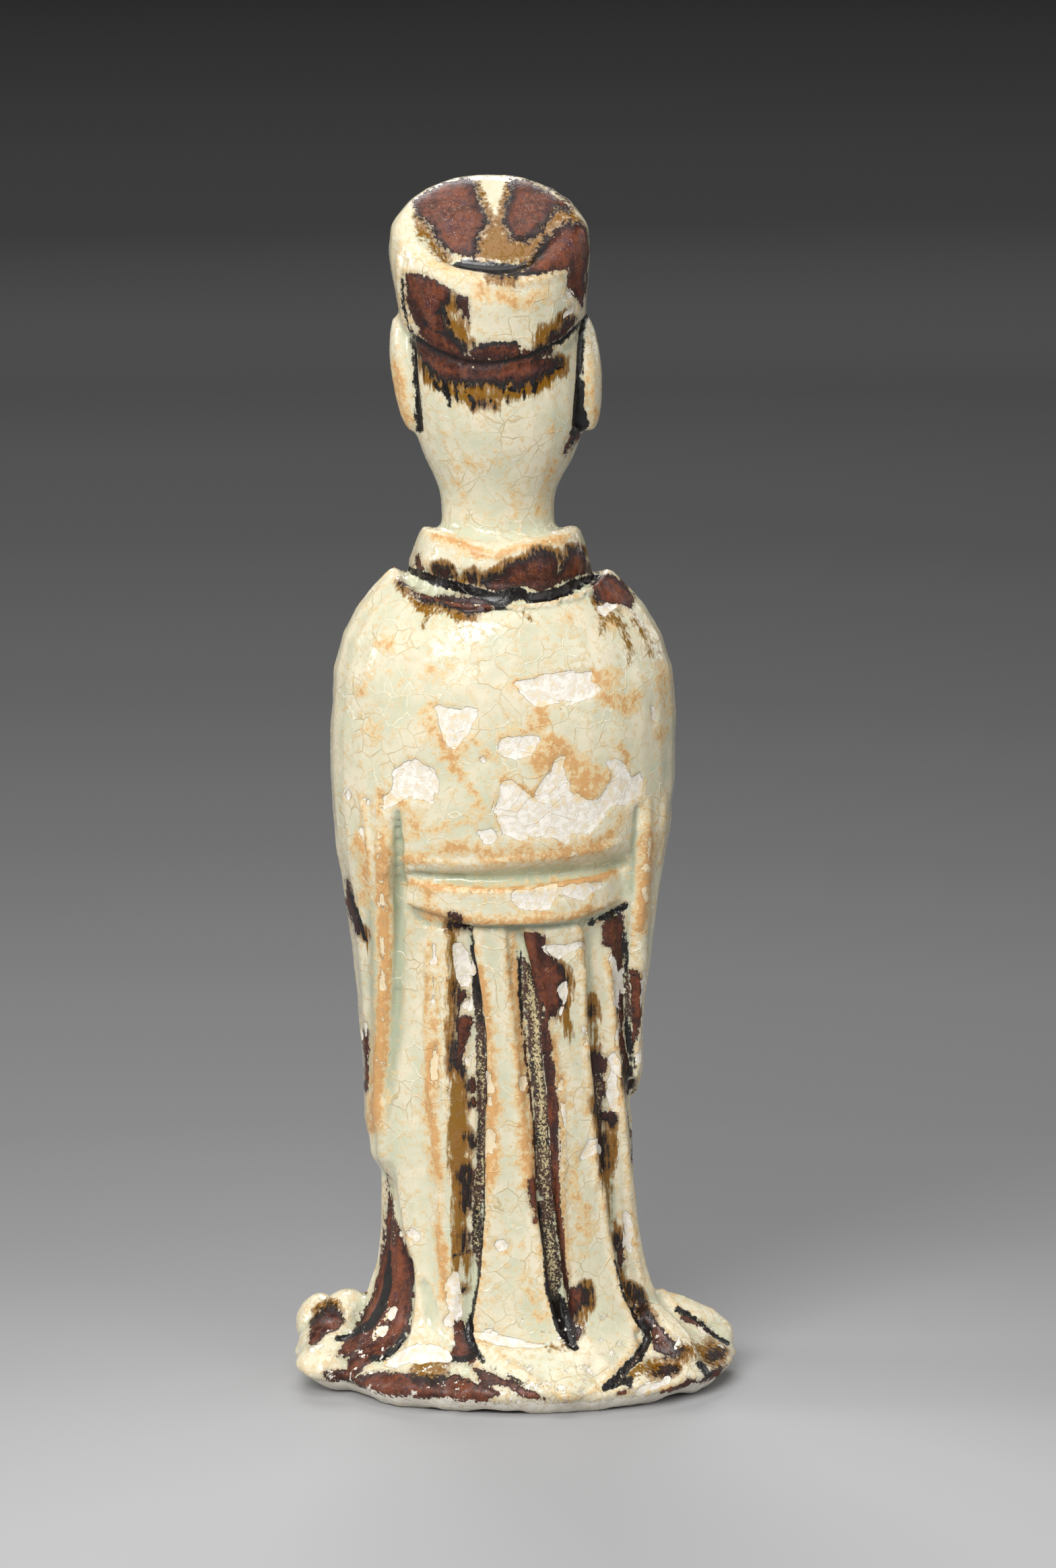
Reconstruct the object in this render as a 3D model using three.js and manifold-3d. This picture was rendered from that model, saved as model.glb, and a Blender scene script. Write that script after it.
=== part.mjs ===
// A standing zodiac figure in glazed stoneware: an official in a long robe, soft cap and wide
// sleeves, holding a small ram at the chest. Millimetres, +Z up, the face towards -Y.
// The figure is one moulded piece. Its origin is the middle of the underside.
import * as THREE from 'three';
import { mergeVertices } from 'three/addons/utils/BufferGeometryUtils.js';
import Module from 'manifold-3d';

const wasm = await Module();
wasm.setup();

// Driving dimensions
const HEIGHT = 210; // floor to the crown of the cap
const BURIED = 2.5; // what is laid on the body reaches this far into it

// Reading through a list of [height, value] stations, smoothly
function profile(stations) {
  const heights = stations.map((station) => station[0]);
  const values = stations.map((station) => station[1]);
  const curve = new THREE.CubicInterpolant(heights, values, 1);
  return (height) => curve.evaluate(height)[0];
}

const smooth = (from, to, at) => THREE.MathUtils.smoothstep(at, from, to);
const swell = (at, middle, reach) => Math.exp(-(((at - middle) / reach) ** 2));
const radians = THREE.MathUtils.degToRad;

// The figure leans a little to its left: the middle of its body at each height
const axisX = profile([[0, -0.6], [10, 1], [20, 1.6], [35, 1.9], [50, 2.5], [60, 2.9], [142, 3.1],
  [154, 3.8], [165, 3.4], [180, 4.2], [198, 4.95], [210, 5.1]]);

// A closed skin of rings, from a pole at the top to a pole at the bottom. A ring runs
// anticlockwise seen from above.
function skin(columns, rows, place) {
  const geometry = new THREE.SphereGeometry(1, columns, rows);
  const position = geometry.attributes.position;
  for (let i = 0; i < position.count; i++) {
    const column = (i % (columns + 1)) % columns;
    const row = Math.floor(i / (columns + 1));
    const point = place(row === 0 || row === rows ? 0 : column, row);
    position.setXYZ(i, point.x, point.y, point.z);
  }
  return geometry;
}

// A closed slab of columns by rows, laid over a surface. across and up run from 0 to 1, and
// out is 0 on the buried side and 1 on the shown side.
function slab(columns, rows, layers, place) {
  const geometry = new THREE.BoxGeometry(1, 1, 1, columns, rows, layers);
  const position = geometry.attributes.position;
  for (let i = 0; i < position.count; i++) {
    const point = place(position.getX(i) + 0.5, position.getY(i) + 0.5, position.getZ(i) + 0.5);
    position.setXYZ(i, point.x, point.y, point.z);
  }
  return geometry;
}

// A rounded lump: an ellipsoid at a place, turned by Euler angles in degrees
function lump(centre, radii, turned = [0, 0, 0], columns = 10, rows = 6) {
  const geometry = new THREE.SphereGeometry(1, columns, rows);
  geometry.rotateX(Math.PI / 2);
  geometry.scale(...radii);
  geometry.applyMatrix4(
    new THREE.Matrix4().makeRotationFromEuler(new THREE.Euler(...turned.map(radians), 'XYZ')),
  );
  geometry.translate(...centre);
  return geometry;
}

// A limb or roll of clay along a curve through points, with a radius at each point
function roll(points, radii, columns = 8, rows = 8) {
  const path = new THREE.CatmullRomCurve3(points.map((point) => new THREE.Vector3(...point)));
  const radius = profile(radii.map((value, i) => [i / (radii.length - 1), value]));
  const frames = path.computeFrenetFrames(rows);
  return skin(columns, rows, (column, row) => {
    const share = row / rows;
    const centre = path.getPointAt(share);
    const reach = row === 0 || row === rows ? 0 : radius(share);
    const turn = (-2 * Math.PI * column) / columns;
    return centre
      .addScaledVector(frames.normals[row], Math.cos(turn) * reach)
      .addScaledVector(frames.binormals[row], Math.sin(turn) * reach);
  });
}

// The robe below the belt, flaring into a hem that lies on the ground. Its levels are heights,
// and below the robe's foot they count down the slope of the hem instead.
const FOOT = 14;
const RIM = 3.2; // the hem's rim is this high
const UNDERCUT = 1.8; // the underside stands in from the rim by this much
const ROBE_TOP = 97;
const hemHeight = profile([[0, RIM], [3, 4.9], [7, 7.8], [11, 11.4], [FOOT, FOOT]]);
const robeHalfWidth = profile([[0, 39], [3, 37], [7, 31.8], [11, 27.4], [14, 25.4], [17.4, 24.4],
  [21, 23.3], [25, 22.7], [32, 22.1], [45, 22.3], [60, 21.8], [85, 21.4], [97, 21.2]]);
const robeBack = profile([[0, 28.2], [3, 26.6], [7, 22.6], [11, 19], [14, 18], [22, 17], [34, 16.8],
  [60, 17.2], [85, 18], [97, 18]]);
const robeFront = profile([[0, 27.2], [3, 26], [7, 22.6], [11, 19.4], [14, 18.4], [22, 17.2],
  [34, 16.6], [60, 16.6], [85, 17], [97, 17]]);
const robeZ = (level) => (level < FOOT ? hemHeight(level) : level);

// A point on the robe at a plan angle and a level, pushed out by relief
function robePoint(angle, level, relief) {
  const across = Math.cos(angle) * (robeHalfWidth(level) + relief);
  const deep = Math.sin(angle) * ((Math.sin(angle) > 0 ? robeBack : robeFront)(level) + relief);
  const z = robeZ(level);
  return new THREE.Vector3(axisX(z) + across, deep, z);
}

// The plan angle of a fold that shows at x, on the back (side 1) or the front (side -1)
function angleOf(x, level, side) {
  const share = (x - axisX(robeZ(level))) / robeHalfWidth(level);
  return side * Math.acos(THREE.MathUtils.clamp(share, -1, 1));
}

// The folds of the back, from the figure's left to its right. Each follows a line, x at a
// level, and has a section of [offset from the line, relief].
const BACK_FOLDS = [
  { line: profile([[0, 26], [5, 22.6], [12, 20], [21, 19.4], [30, 21.6], [40, 22.4], [97, 21.4]]),
    section: [[1.4, -0.9], [-0.4, -0.9], [-1.7, 0.8]] },
  { line: profile([[0, 17.4], [14, 13.6], [40, 13.6], [60, 15], [85, 14.6]]),
    section: [[1.6, 0], [0, 0.9], [-1.4, 0.2]] },
  { line: profile([[0, 12], [7, 8.2], [14, 8.6], [26, 7], [40, 5.6], [47, 5.2], [57, 5.6], [68, 7],
      [84, 8.6]]),
    section: [[3.2, -0.5], [0.6, -1.7], [-0.8, 1]] },
  { line: profile([[0, -11], [10, -9.2], [21, -7], [32, -4.6], [49, -2.7], [62, -1.2], [84, 0.9]]),
    section: [[1.7, 0.9], [0.6, -1.2], [-0.8, -1.2], [-2, 0.9]] },
  { line: profile([[0, -29], [7, -22], [14, -20.4], [18, -18.8], [24, -17.2], [40, -15.2],
      [54, -13.5], [64, -12.8], [85, -11.6]]),
    section: [[1.5, 0.9], [0.1, -1.7], [-1.8, -0.8], [-3.3, 0.9]] },
  { line: profile([[0, -36], [14, -25.6], [22, -22.6], [30, -21], [47, -19.8], [54, -19.3],
      [64, -18.8], [85, -18.2], [97, -19]]),
    section: [[0.5, -0.9], [-0.7, -0.8]] },
];
const FRONT_FOLDS = [
  { line: profile([[0, 24], [14, 15.4], [50, 14], [90, 14.6]]),
    section: [[-1.6, 0.3], [0, -1.3], [1.8, 0.4]] },
  { line: profile([[0, 9.4], [14, 8.6], [90, 8.2]]),
    section: [[-0.6, 1.5], [0.5, 1.5], [1.3, -0.9]] },
  { line: profile([[0, -6.4], [14, -5], [90, -2.8]]),
    section: [[-1.3, -0.9], [-0.5, 1.5], [0.6, 1.5]] },
  { line: profile([[0, -21.4], [14, -12.8], [50, -10.4], [90, -9]]),
    section: [[-1.8, 0.4], [0, -1.3], [1.6, 0.3]] },
];
const LEFT_SIDE = [-32, -12, 6].map(radians);
const RIGHT_SIDE = [186, 200, 214].map(radians);
const CLOTH_CROWN = 0.5; // between two folds the cloth stands this far proud
const NEAREST = radians(1.6); // no two columns stand closer than this

// Folds are softer on the rim of the hem, and die out beneath the belt
const foldDepth = (level) => (0.35 + 0.65 * smooth(0, 10, level)) * (1 - smooth(85, 90, level));
const hemRipple = (angle, level) => 1.5 * Math.cos(angle * 8) * (1 - smooth(6, 24, level));

// The columns of one ring of the robe, anticlockwise from the right of the front, as
// [angle, relief]
function robeRing(level) {
  const knots = [];
  const sides = (angles) => angles.forEach((angle) => knots.push([angle, hemRipple(angle, level)]));
  const row = (folds, side, turn) => {
    let last = null;
    for (const { line, section } of folds) {
      for (const [offset, relief] of section) {
        const angle = angleOf(line(level) + offset, level, side) + turn;
        if (last !== null && offset === section[0][0])
          knots.push([(last + angle) / 2, CLOTH_CROWN]);
        knots.push([angle, relief]);
        last = angle;
      }
    }
  };
  sides(LEFT_SIDE);
  row(BACK_FOLDS, 1, 0);
  sides(RIGHT_SIDE);
  row([...FRONT_FOLDS].reverse(), -1, 2 * Math.PI);
  for (let i = 1; i < knots.length; i++)
    knots[i][0] = Math.max(knots[i][0], knots[i - 1][0] + NEAREST);
  return knots.map(([angle, relief]) => [angle, relief * foldDepth(level)]);
}

const ROBE_LEVELS = [ROBE_TOP, 89, 84, 70, 57, 46, 35, 27, 21, 17, 14, 12, 9, 6, 3, 0];

function robe() {
  const rings = ROBE_LEVELS.map(robeRing);
  const columns = rings[0].length;
  const rows = ROBE_LEVELS.length + 3;
  return skin(columns, rows, (column, row) => {
    if (row === 0) return new THREE.Vector3(axisX(ROBE_TOP), 0, ROBE_TOP);
    if (row === rows) return new THREE.Vector3(0, 0, 0);
    const ring = Math.min(row - 1, ROBE_LEVELS.length - 1);
    const [angle, relief] = rings[ring][column];
    const point = robePoint(angle, ROBE_LEVELS[ring], relief);
    const below = row - ROBE_LEVELS.length; // 1 on the rim's lower edge, 2 on the underside
    if (below === 1) point.setZ(RIM * 0.3);
    if (below === 2) {
      const inset = 1 - UNDERCUT / Math.hypot(point.x, point.y);
      point.set(point.x * inset, point.y * inset, 0);
    }
    return point;
  });
}

// The middle panel of the back ends in a point that lies out on the hem
const PANEL = { top: 14, corner: 10.5, pointX: -8.4, pointLevel: 1, thick: 1.5, left: 2, right: 4 };
function backPanel() {
  return slab(6, 7, 1, (across, up, out) => {
    const level = THREE.MathUtils.lerp(PANEL.pointLevel, PANEL.top, up);
    const height = Math.max(level, PANEL.corner);
    const taper = Math.min(1, (level - PANEL.pointLevel) / (PANEL.corner - PANEL.pointLevel));
    const edge = (fold, offset) => THREE.MathUtils.lerp(PANEL.pointX + offset,
      BACK_FOLDS[fold].line(height) + offset, taper);
    const x = THREE.MathUtils.lerp(edge(PANEL.left, -0.5), edge(PANEL.right, 0.9), across);
    const lift = PANEL.thick * (1 - smooth(PANEL.corner - 2, PANEL.top, level)) - 0.2;
    return robePoint(angleOf(x, level, 1), level, out ? lift : -BURIED);
  });
}

// Bunched cloth at the figure's left end of the hem, and ridges at its right end
function hemLumps() {
  return [
    lump([31.2, 1.5, 4.4], [8.4, 10.6, 7.8]),
    lump([35.4, -3.6, 9], [3.8, 5, 5], [0, -12, 0]),
    lump([29.8, -0.6, 9.8], [5, 5.6, 5.8], [0, 10, -10]),
    lump([33.4, 7.4, 4.2], [5.8, 7.6, 4.6], [0, 8, -22]),
    roll([[-20, -3, 11.6], [-27, -4, 9.4], [-33, -5, 6], [-37.4, -5, 2.8]], [4, 4.6, 4.4, 2.8]),
    roll([[-20, 7, 14], [-25, 9.4, 9.6], [-28, 12, 5.6], [-29, 14.2, 2.8]], [3.4, 4, 3.8, 2.8]),
  ];
}

// The jacket, from the neckline down to where it bulges over the belt
const jacketHalfWidth = profile([[90, 24], [95, 27.6], [100, 29.2], [107, 29.7], [121.4, 29.6],
  [125, 29.3], [128.5, 28.5], [132, 27.4], [135.5, 25.6], [139, 23], [142, 20.2], [143.5, 18.4]]);
const jacketBack = profile([[90, 17.4], [95, 20.4], [102, 21.4], [112, 21.6], [121, 21.2],
  [128, 20.4], [133, 19.8], [138, 19.2], [141, 18.6], [143.5, 17.2]]);
const jacketFront = profile([[90, 15], [95, 17.6], [102, 18.6], [112, 18.6], [121, 17.8],
  [129, 16.8], [135, 16], [139, 15.4], [142, 14.6], [143.5, 13.6]]);
const JACKET_LEVELS = [143.5, 142.4, 140.2, 137, 132, 126, 117, 106, 99, 95.8, 95, 92];
const JACKET_TURN_IN = 3.4; // the lower edge turns in by this much, over the belt
const NECKLINE = { dip: 3.4, groove: 1.8, inset: 2.4, well: 5 }; // it dips to the back and the front
const LOWER_EDGE = { tilt: -0.09, reach: 18 }; // the lower edge rises to the figure's right

// A point on the jacket at a plan angle and a level, pushed out by relief
function jacketPoint(angle, level, relief) {
  const deep = (Math.sin(angle) > 0 ? jacketBack : jacketFront)(level);
  const across = Math.cos(angle) * (jacketHalfWidth(level) + relief);
  const dip = NECKLINE.dip * Math.abs(Math.sin(angle)) * smooth(130, 143, level);
  const tilted = THREE.MathUtils.clamp(across, -LOWER_EDGE.reach, LOWER_EDGE.reach);
  const rise = LOWER_EDGE.tilt * tilted * (1 - smooth(96, 106, level));
  return new THREE.Vector3(
    axisX(level) + across, Math.sin(angle) * (deep + relief), level - dip + rise);
}

function jacket() {
  const columns = 30;
  const rows = JACKET_LEVELS.length + 2;
  return skin(columns, rows, (column, row) => {
    const angle = (2 * Math.PI * column) / columns;
    const level = JACKET_LEVELS[THREE.MathUtils.clamp(row - 2, 0, JACKET_LEVELS.length - 1)];
    if (row === 0) return new THREE.Vector3(axisX(level), 0, level - NECKLINE.well);
    if (row === rows) return new THREE.Vector3(axisX(level), 0, level);
    if (row === 1) {
      const point = jacketPoint(angle, level, -NECKLINE.inset);
      return point.setZ(point.z - NECKLINE.groove);
    }
    return jacketPoint(angle, level, row === rows - 1 ? -JACKET_TURN_IN : 0);
  });
}

// The two lapels cross on the chest, the figure's left one on top. Each is a band that runs
// from over the hands up to the neckline.
const LAPEL = { low: 112, high: 141, lowX: 5, highX: 9.6, bend: 1.25, wide: 4.6, upper: 1.5, under: 1 };
function lapel(side) {
  return slab(1, 7, 1, (across, up, out) => {
    const z = THREE.MathUtils.lerp(LAPEL.low, LAPEL.high, up);
    const middle = THREE.MathUtils.lerp(-side * LAPEL.lowX, side * LAPEL.highX, up ** LAPEL.bend);
    const x = middle + LAPEL.wide * (across - 0.5);
    const thick = side > 0 ? LAPEL.upper : LAPEL.under;
    return jacketPoint(-Math.acos(x / jacketHalfWidth(z)), z, out ? thick : -BURIED);
  });
}

// The belt, a band raised from the robe between the two sleeves
const BELT = { left: 17.9, right: -16.2, low: 86.6, high: 93.2, thick: 2.6, bevel: 0.8, shoulder: 3.2 };
const BELT_SAG = { low: 2.3, high: 1.5 }; // the belt hangs lower in its middle
function belt(side) {
  return slab(12, 2, 1, (across, up, out) => {
    const x = THREE.MathUtils.lerp(BELT.left, BELT.right, side > 0 ? across : 1 - across);
    const middle = 1 - (2 * across - 1) ** 2;
    const sag = THREE.MathUtils.lerp(BELT_SAG.low, BELT_SAG.high, up) * middle;
    const level = THREE.MathUtils.lerp(BELT.low, BELT.high, up) - sag;
    const slope = out ? BELT.bevel * (1 - 2 * up) : BELT.shoulder * up;
    return robePoint(angleOf(x, level, side), level + slope, out ? BELT.thick : -BURIED);
  });
}

// The wide sleeves hang over the sides of the robe, each from a rim behind to a rim before
const SLEEVES = [
  { side: 1, rimX: 22.6, lowBack: 37.4, lowFront: 26 },
  { side: -1, rimX: -20.6, lowBack: 54.5, lowFront: 40 },
];
const SLEEVE_TOP = 112;
const SLEEVE_FRONT = radians(-72); // the plan angle of the rim before
const SLEEVE_THICK = 9; // its inner side is inside the robe
const SLEEVE_ROUNDED = 0.8; // its lower edge is drawn in by this much
const sleeveHalfWidth = profile([[24, 20.4], [30, 20.8], [36, 22], [39, 23.8], [43, 24.5], [50, 24.8],
  [57, 24.6], [64, 24.8], [72, 25.5], [79, 26.3], [86, 27.2], [93, 28.5], [100, 29.5], [112, 29]]);
const sleeveDepth = profile([[24, 18.4], [50, 19.4], [72, 20], [86, 20.9], [95, 21.5], [100, 21.6],
  [112, 20.6]]);
// The section of a sleeve from the rim behind to the rim before, as [share, relief]: a rolled
// rim, a shallow channel inside it, and the broad flank
const SLEEVE_SECTION = [[0, -1.4], [0.03, 0.1], [0.08, 0.2], [0.13, -0.6], [0.2, -0.1], [0.36, 0],
  [0.54, 0], [0.72, 0.1], [0.88, 0.5], [0.95, 0.5], [1, -1.2]];

function sleeve({ side, rimX, lowBack, lowFront }) {
  const columns = SLEEVE_SECTION.length - 1;
  return slab(columns, 7, 1, (across, up, out) => {
    const column = Math.round(columns * (side > 0 ? 1 - across : across));
    const [forward, relief] = SLEEVE_SECTION[column];
    const low = THREE.MathUtils.lerp(lowBack, lowFront, smooth(0, 1, forward));
    const z = THREE.MathUtils.lerp(low, SLEEVE_TOP, up ** 1.5); // the rows crowd to the low edge
    const half = sleeveHalfWidth(z);
    const share = Math.min(0.97, (side * (rimX - axisX(z))) / half);
    const angle = THREE.MathUtils.lerp(Math.acos(share), SLEEVE_FRONT, forward);
    const shown = relief * (1 - smooth(88, 100, z)) - (up ? 0 : SLEEVE_ROUNDED);
    const lift = out ? shown : -SLEEVE_THICK;
    return new THREE.Vector3(
      axisX(z) + side * Math.cos(angle) * (half + lift),
      Math.sin(angle) * (sleeveDepth(z) + lift), z);
  });
}

// A notch runs up into the jacket from the gap between each sleeve and the robe
function notches() {
  const notch = (x, out) => roll(
    [[x, out - 4.4, 87], [x, out - 1.8, 94], [x, out - 0.5, 100], [x, out + 0.8, 105]],
    [1.3, 1.4, 1.2, 0.8], 8, 5);
  return [notch(20.9, 16.8), notch(-19.4, 14.8)];
}

// The forearms come round to the front, where the joined hands carry the ram
const CHEST = 110;
const MIDDLE = 2.8; // the middle of the chest stands this far left
function arms() {
  const arm = (side) => roll(
    [[side * 13 + MIDDLE, -1, CHEST - 3], [side * 19.6 + MIDDLE, -9.6, CHEST - 5],
      [side * 16 + MIDDLE, -16.4, CHEST - 6], [side * 9 + MIDDLE, -20, CHEST - 4.4],
      [side * 2.6 + MIDDLE, -21.8, CHEST - 2]],
    [7.4, 8.6, 8.6, 7.2, 5], 12, 7);
  return [arm(1), arm(-1)];
}

function hands() {
  const hand = (side) => [
    lump([MIDDLE + side * 2.6, -22.6, CHEST - 1.2], [3.4, 3.6, 4.6], [10, side * 24, side * 12], 8, 6),
    roll([[MIDDLE + side * 4.2, -22.6, CHEST + 1.6], [MIDDLE + side * 2.2, -25, CHEST + 3.4],
      [MIDDLE + side * 0.6, -24.6, CHEST + 4.4]], [1.5, 1.5, 1.1], 6, 4),
  ];
  return [...hand(1), ...hand(-1)];
}

const RAM = { x: MIDDLE, y: -22.6, z: CHEST + 8 };
function ram() {
  const at = (dx, dy, dz) => [RAM.x + dx, RAM.y + dy, RAM.z + dz];
  const horn = (near, out) => roll(
    [at(8.4, near, 8.4), at(6.2, near + out * 1.6, 9), at(4.4, near + out * 2.2, 6.6),
      at(5.6, near + out * 2.6, 4), at(8, near + out * 2.4, 3.8)],
    [1.3, 1.6, 1.5, 1.2, 0.7], 6, 7);
  return [
    lump(at(-2, 0.6, 0), [10, 5, 5.4], [0, -4, 0]), // body
    lump(at(-8.4, 0.4, 0.2), [4.4, 4.8, 4.8], [0, 0, 0], 8, 6), // haunch
    roll([at(2.4, 0.2, 0.4), at(5.6, 0, 3.6), at(8.4, 0, 5.8)], [4.4, 3.7, 3], 8, 4), // neck
    lump(at(9.6, -0.2, 5.4), [4.4, 2.7, 3], [0, 30, 0], 8, 6), // head
    lump(at(12, -0.3, 3.9), [2.1, 1.9, 1.8], [0, 30, 0], 8, 4), // muzzle
    horn(-1.2, -1),
    horn(0.8, 1),
    roll([at(2, -2.8, -3.4), at(6.4, -3.6, -4), at(9.4, -3, -3.8)], [2, 1.7, 1.3], 6, 4), // foreleg
    roll([at(-8, -3, -3.2), at(-4.4, -3.9, -4.2), at(-1.4, -3.4, -4)], [2.2, 1.8, 1.3], 6, 4), // hind leg
  ];
}

// The collar stands round the neck. Its edge dips to a point at the back, and lower at the front.
const COLLAR = { x: 3.3, high: 150.7, dip: 2.6, drop: 9, deep: 0.95, sideLow: 144, backLow: 140.8 };
function collar() {
  const columns = 26;
  return skin(columns, 8, (column, row) => {
    const angle = (2 * Math.PI * column) / columns;
    const facing = Math.sin(angle); // 1 at the back, -1 at the front
    const back = Math.max(0, facing);
    const dip = back ? COLLAR.dip * (1 - Math.abs(Math.cos(angle))) : COLLAR.drop * (-facing) ** 1.8;
    const high = COLLAR.high - dip;
    const low = COLLAR.sideLow - (COLLAR.sideLow - COLLAR.backLow) * Math.abs(facing);
    const [reach, z] = [
      [0, 145], [10.2, high - 0.6 + 1.9 * back], [12, high + 0.7 * back], [13.4, high - 0.1],
      [14, high - 1.2], [15.4, low + 1], [15.6, low - 2], [12, low - 5], [0, 138],
    ][row];
    return new THREE.Vector3(COLLAR.x + Math.cos(angle) * reach, facing * reach * COLLAR.deep, z);
  });
}

// The head and neck
const headHalfWidth = profile([[138, 9.6], [146, 9.7], [153, 9.8], [156.5, 10], [160, 11.3],
  [163.5, 13.1], [167, 14.2], [171, 14.8], [177, 14.9], [186, 14.4], [194, 11.4]]);
const headBack = profile([[138, 9], [146, 9.4], [151, 8.8], [155, 9], [160, 10.8], [165, 12.8],
  [171, 14.4], [178, 14.9], [186, 14.2], [194, 12]]);
const headFront = profile([[138, 8], [146, 8], [150, 8.2], [153, 9.2], [155.4, 12.4], [158, 14.8],
  [164, 16.2], [171, 16.6], [179, 16.2], [186, 15], [194, 12]]);
const HEAD_LEVELS = [194, 183, 179.4, 176.6, 174.4, 171, 168, 165.4, 162.6, 160, 157.4, 154.6, 151.6,
  147, 138];

// The relief of the face at a distance across from its middle and at a height
function faceRelief(across, z) {
  const side = Math.abs(across);
  const socket = -1.6 * swell(side, 5.4, 3.2) * swell(z, 175.4, 2.4);
  const lid = 1.1 * swell(side, 5.6, 2.6) * swell(z, 174.4, 1.5);
  const brow = 0.7 * swell(side, 5, 4.6) * swell(z, 179, 1.8);
  const cheek = 0.9 * swell(side, 7, 3.4) * swell(z, 167.6, 4);
  const mouth = 0.9 * swell(side, 0, 3.2) * swell(z, 163, 2.6);
  const chin = 1.1 * swell(side, 0, 4) * swell(z, 157.6, 2.2);
  return socket + lid + brow + cheek + mouth + chin;
}

// The columns crowd to the face, which needs more of them than the back of the head
const CROWDED = 0.32;
function head() {
  const columns = 30;
  const rows = HEAD_LEVELS.length + 1;
  return skin(columns, rows, (column, row) => {
    const z = HEAD_LEVELS[THREE.MathUtils.clamp(row - 1, 0, HEAD_LEVELS.length - 1)];
    if (row === 0 || row === rows) return new THREE.Vector3(axisX(z), 0, z);
    const even = (2 * Math.PI * column) / columns;
    const angle = even - CROWDED * Math.cos(even);
    const across = Math.cos(angle) * headHalfWidth(z);
    const facing = -Math.sin(angle);
    const relief = facing > 0 ? faceRelief(across, z) * Math.min(1, facing * 1.6) : 0;
    return new THREE.Vector3(
      axisX(z) + across, -facing * ((facing > 0 ? headFront : headBack)(z) + relief), z);
  });
}

const FACE_X = axisX(170);
function features() {
  return [
    roll([[FACE_X, -15.4, 178], [FACE_X, -17.2, 173], [FACE_X, -19, 168.8], [FACE_X, -15.8, 167.2]],
      [1.1, 1.3, 1.8, 1.2], 6, 5),
    lump([FACE_X, -16.9, 168.2], [2.8, 1.5, 1.1], [0, 0, 0], 8, 4), // nostrils
    lump([FACE_X, -16.4, 163.7], [3, 1.8, 0.75], [0, 0, 0], 8, 4), // upper lip
    lump([FACE_X, -16.2, 162.3], [2.5, 1.8, 0.8], [0, 0, 0], 8, 4), // lower lip
  ];
}

// The ears are long slabs that stand off the sides of the head
function ears() {
  const ear = (side, x, tilt) => lump([x, -0.4, 176.9], [2.3, 4.2, 10.2], [6, tilt, side * 14], 8, 8);
  return [ear(1, 19.5, 8), ear(-1, -11.7, 3)];
}

// The soft cap: a swelling band, a lip at the back, and a crown that rises towards the front
const CAP = { seamBack: 180.2, seamSide: 185.2, seamFront: 183, half: 17.2, deep: 0.98, inner: 10.6 };
const CROWN = { domeBase: 198.6, domeHigh: HEIGHT - 197, lipBack: 195.4, rise: 0.72, lipReach: 15.8 };
const CREASE = { deep: 2.4, inward: 11.4, wide: 2.2 };

// The top of the cap at a plan angle and reach: a dome, pressed down towards the back
function crownHeight(angle, reach) {
  const back = Math.sin(angle) * reach;
  const dome = CROWN.domeBase
    + CROWN.domeHigh * Math.sqrt(Math.max(0, 1 - (reach / CAP.half) ** 2.2));
  const pressed = CROWN.lipBack + (CROWN.lipReach - back) * CROWN.rise;
  const lower = Math.min(dome, pressed);
  const blend = Math.max(0, 1 - Math.abs(dome - pressed) / 4);
  const crease = CREASE.deep * swell(reach, CREASE.inward, CREASE.wide)
    * smooth(0.15, 0.8, Math.sin(angle));
  return lower - blend ** 2 - crease;
}

function cap() {
  const columns = 28;
  // the band, as [share of the way from seam to lip, reach], and the reaches of the crown
  const band = [[0, 15.2], [0.08, 15.9], [0.36, 16.5], [0.7, 17.2], [0.92, 16.8], [1, CROWN.lipReach]];
  const crown = [14, 11.8, 9, 5];
  const rows = band.length + crown.length + 2;
  const at = (angle, reach, z) => new THREE.Vector3(
    axisX(z) + Math.cos(angle) * reach, Math.sin(angle) * reach * CAP.deep, z);
  return skin(columns, rows, (column, row) => {
    const angle = (2 * Math.PI * column) / columns;
    const facing = Math.sin(angle);
    const seam = THREE.MathUtils.lerp(
      CAP.seamSide, facing > 0 ? CAP.seamBack : CAP.seamFront, Math.abs(facing) ** 1.5);
    if (row === 0) return at(0, 0, crownHeight(0, 0));
    if (row === rows) return at(0, 0, seam);
    if (row === rows - 1) return at(angle, CAP.inner, seam + 1); // inside the head
    if (row <= crown.length) {
      const reach = crown[crown.length - row];
      return at(angle, reach, crownHeight(angle, reach));
    }
    const [share, reach] = band[rows - 2 - row];
    return at(angle, reach, THREE.MathUtils.lerp(seam, crownHeight(angle, CROWN.lipReach), share));
  });
}

function shoes() {
  const shoe = (side) => lump([1 + side * 8, -23.4, 3.4], [5.2, 5, 3.3], [0, 0, side * 6]);
  return [shoe(1), shoe(-1)];
}

// Every form becomes a closed solid, and all are joined into the one piece
function solid(geometry) {
  geometry.deleteAttribute('normal');
  geometry.deleteAttribute('uv');
  const merged = mergeVertices(geometry, 1e-4);
  const kept = [];
  const index = merged.index.array;
  for (let i = 0; i < index.length; i += 3) {
    const [a, b, c] = [index[i], index[i + 1], index[i + 2]];
    if (a !== b && b !== c && c !== a) kept.push(a, b, c);
  }
  const mesh = new wasm.Mesh({
    numProp: 3,
    vertProperties: merged.attributes.position.array,
    triVerts: new Uint32Array(kept),
  });
  return new wasm.Manifold(mesh);
}

function joined(geometries) {
  return geometries.map(solid).reduce((whole, next) => whole.add(next));
}

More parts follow.
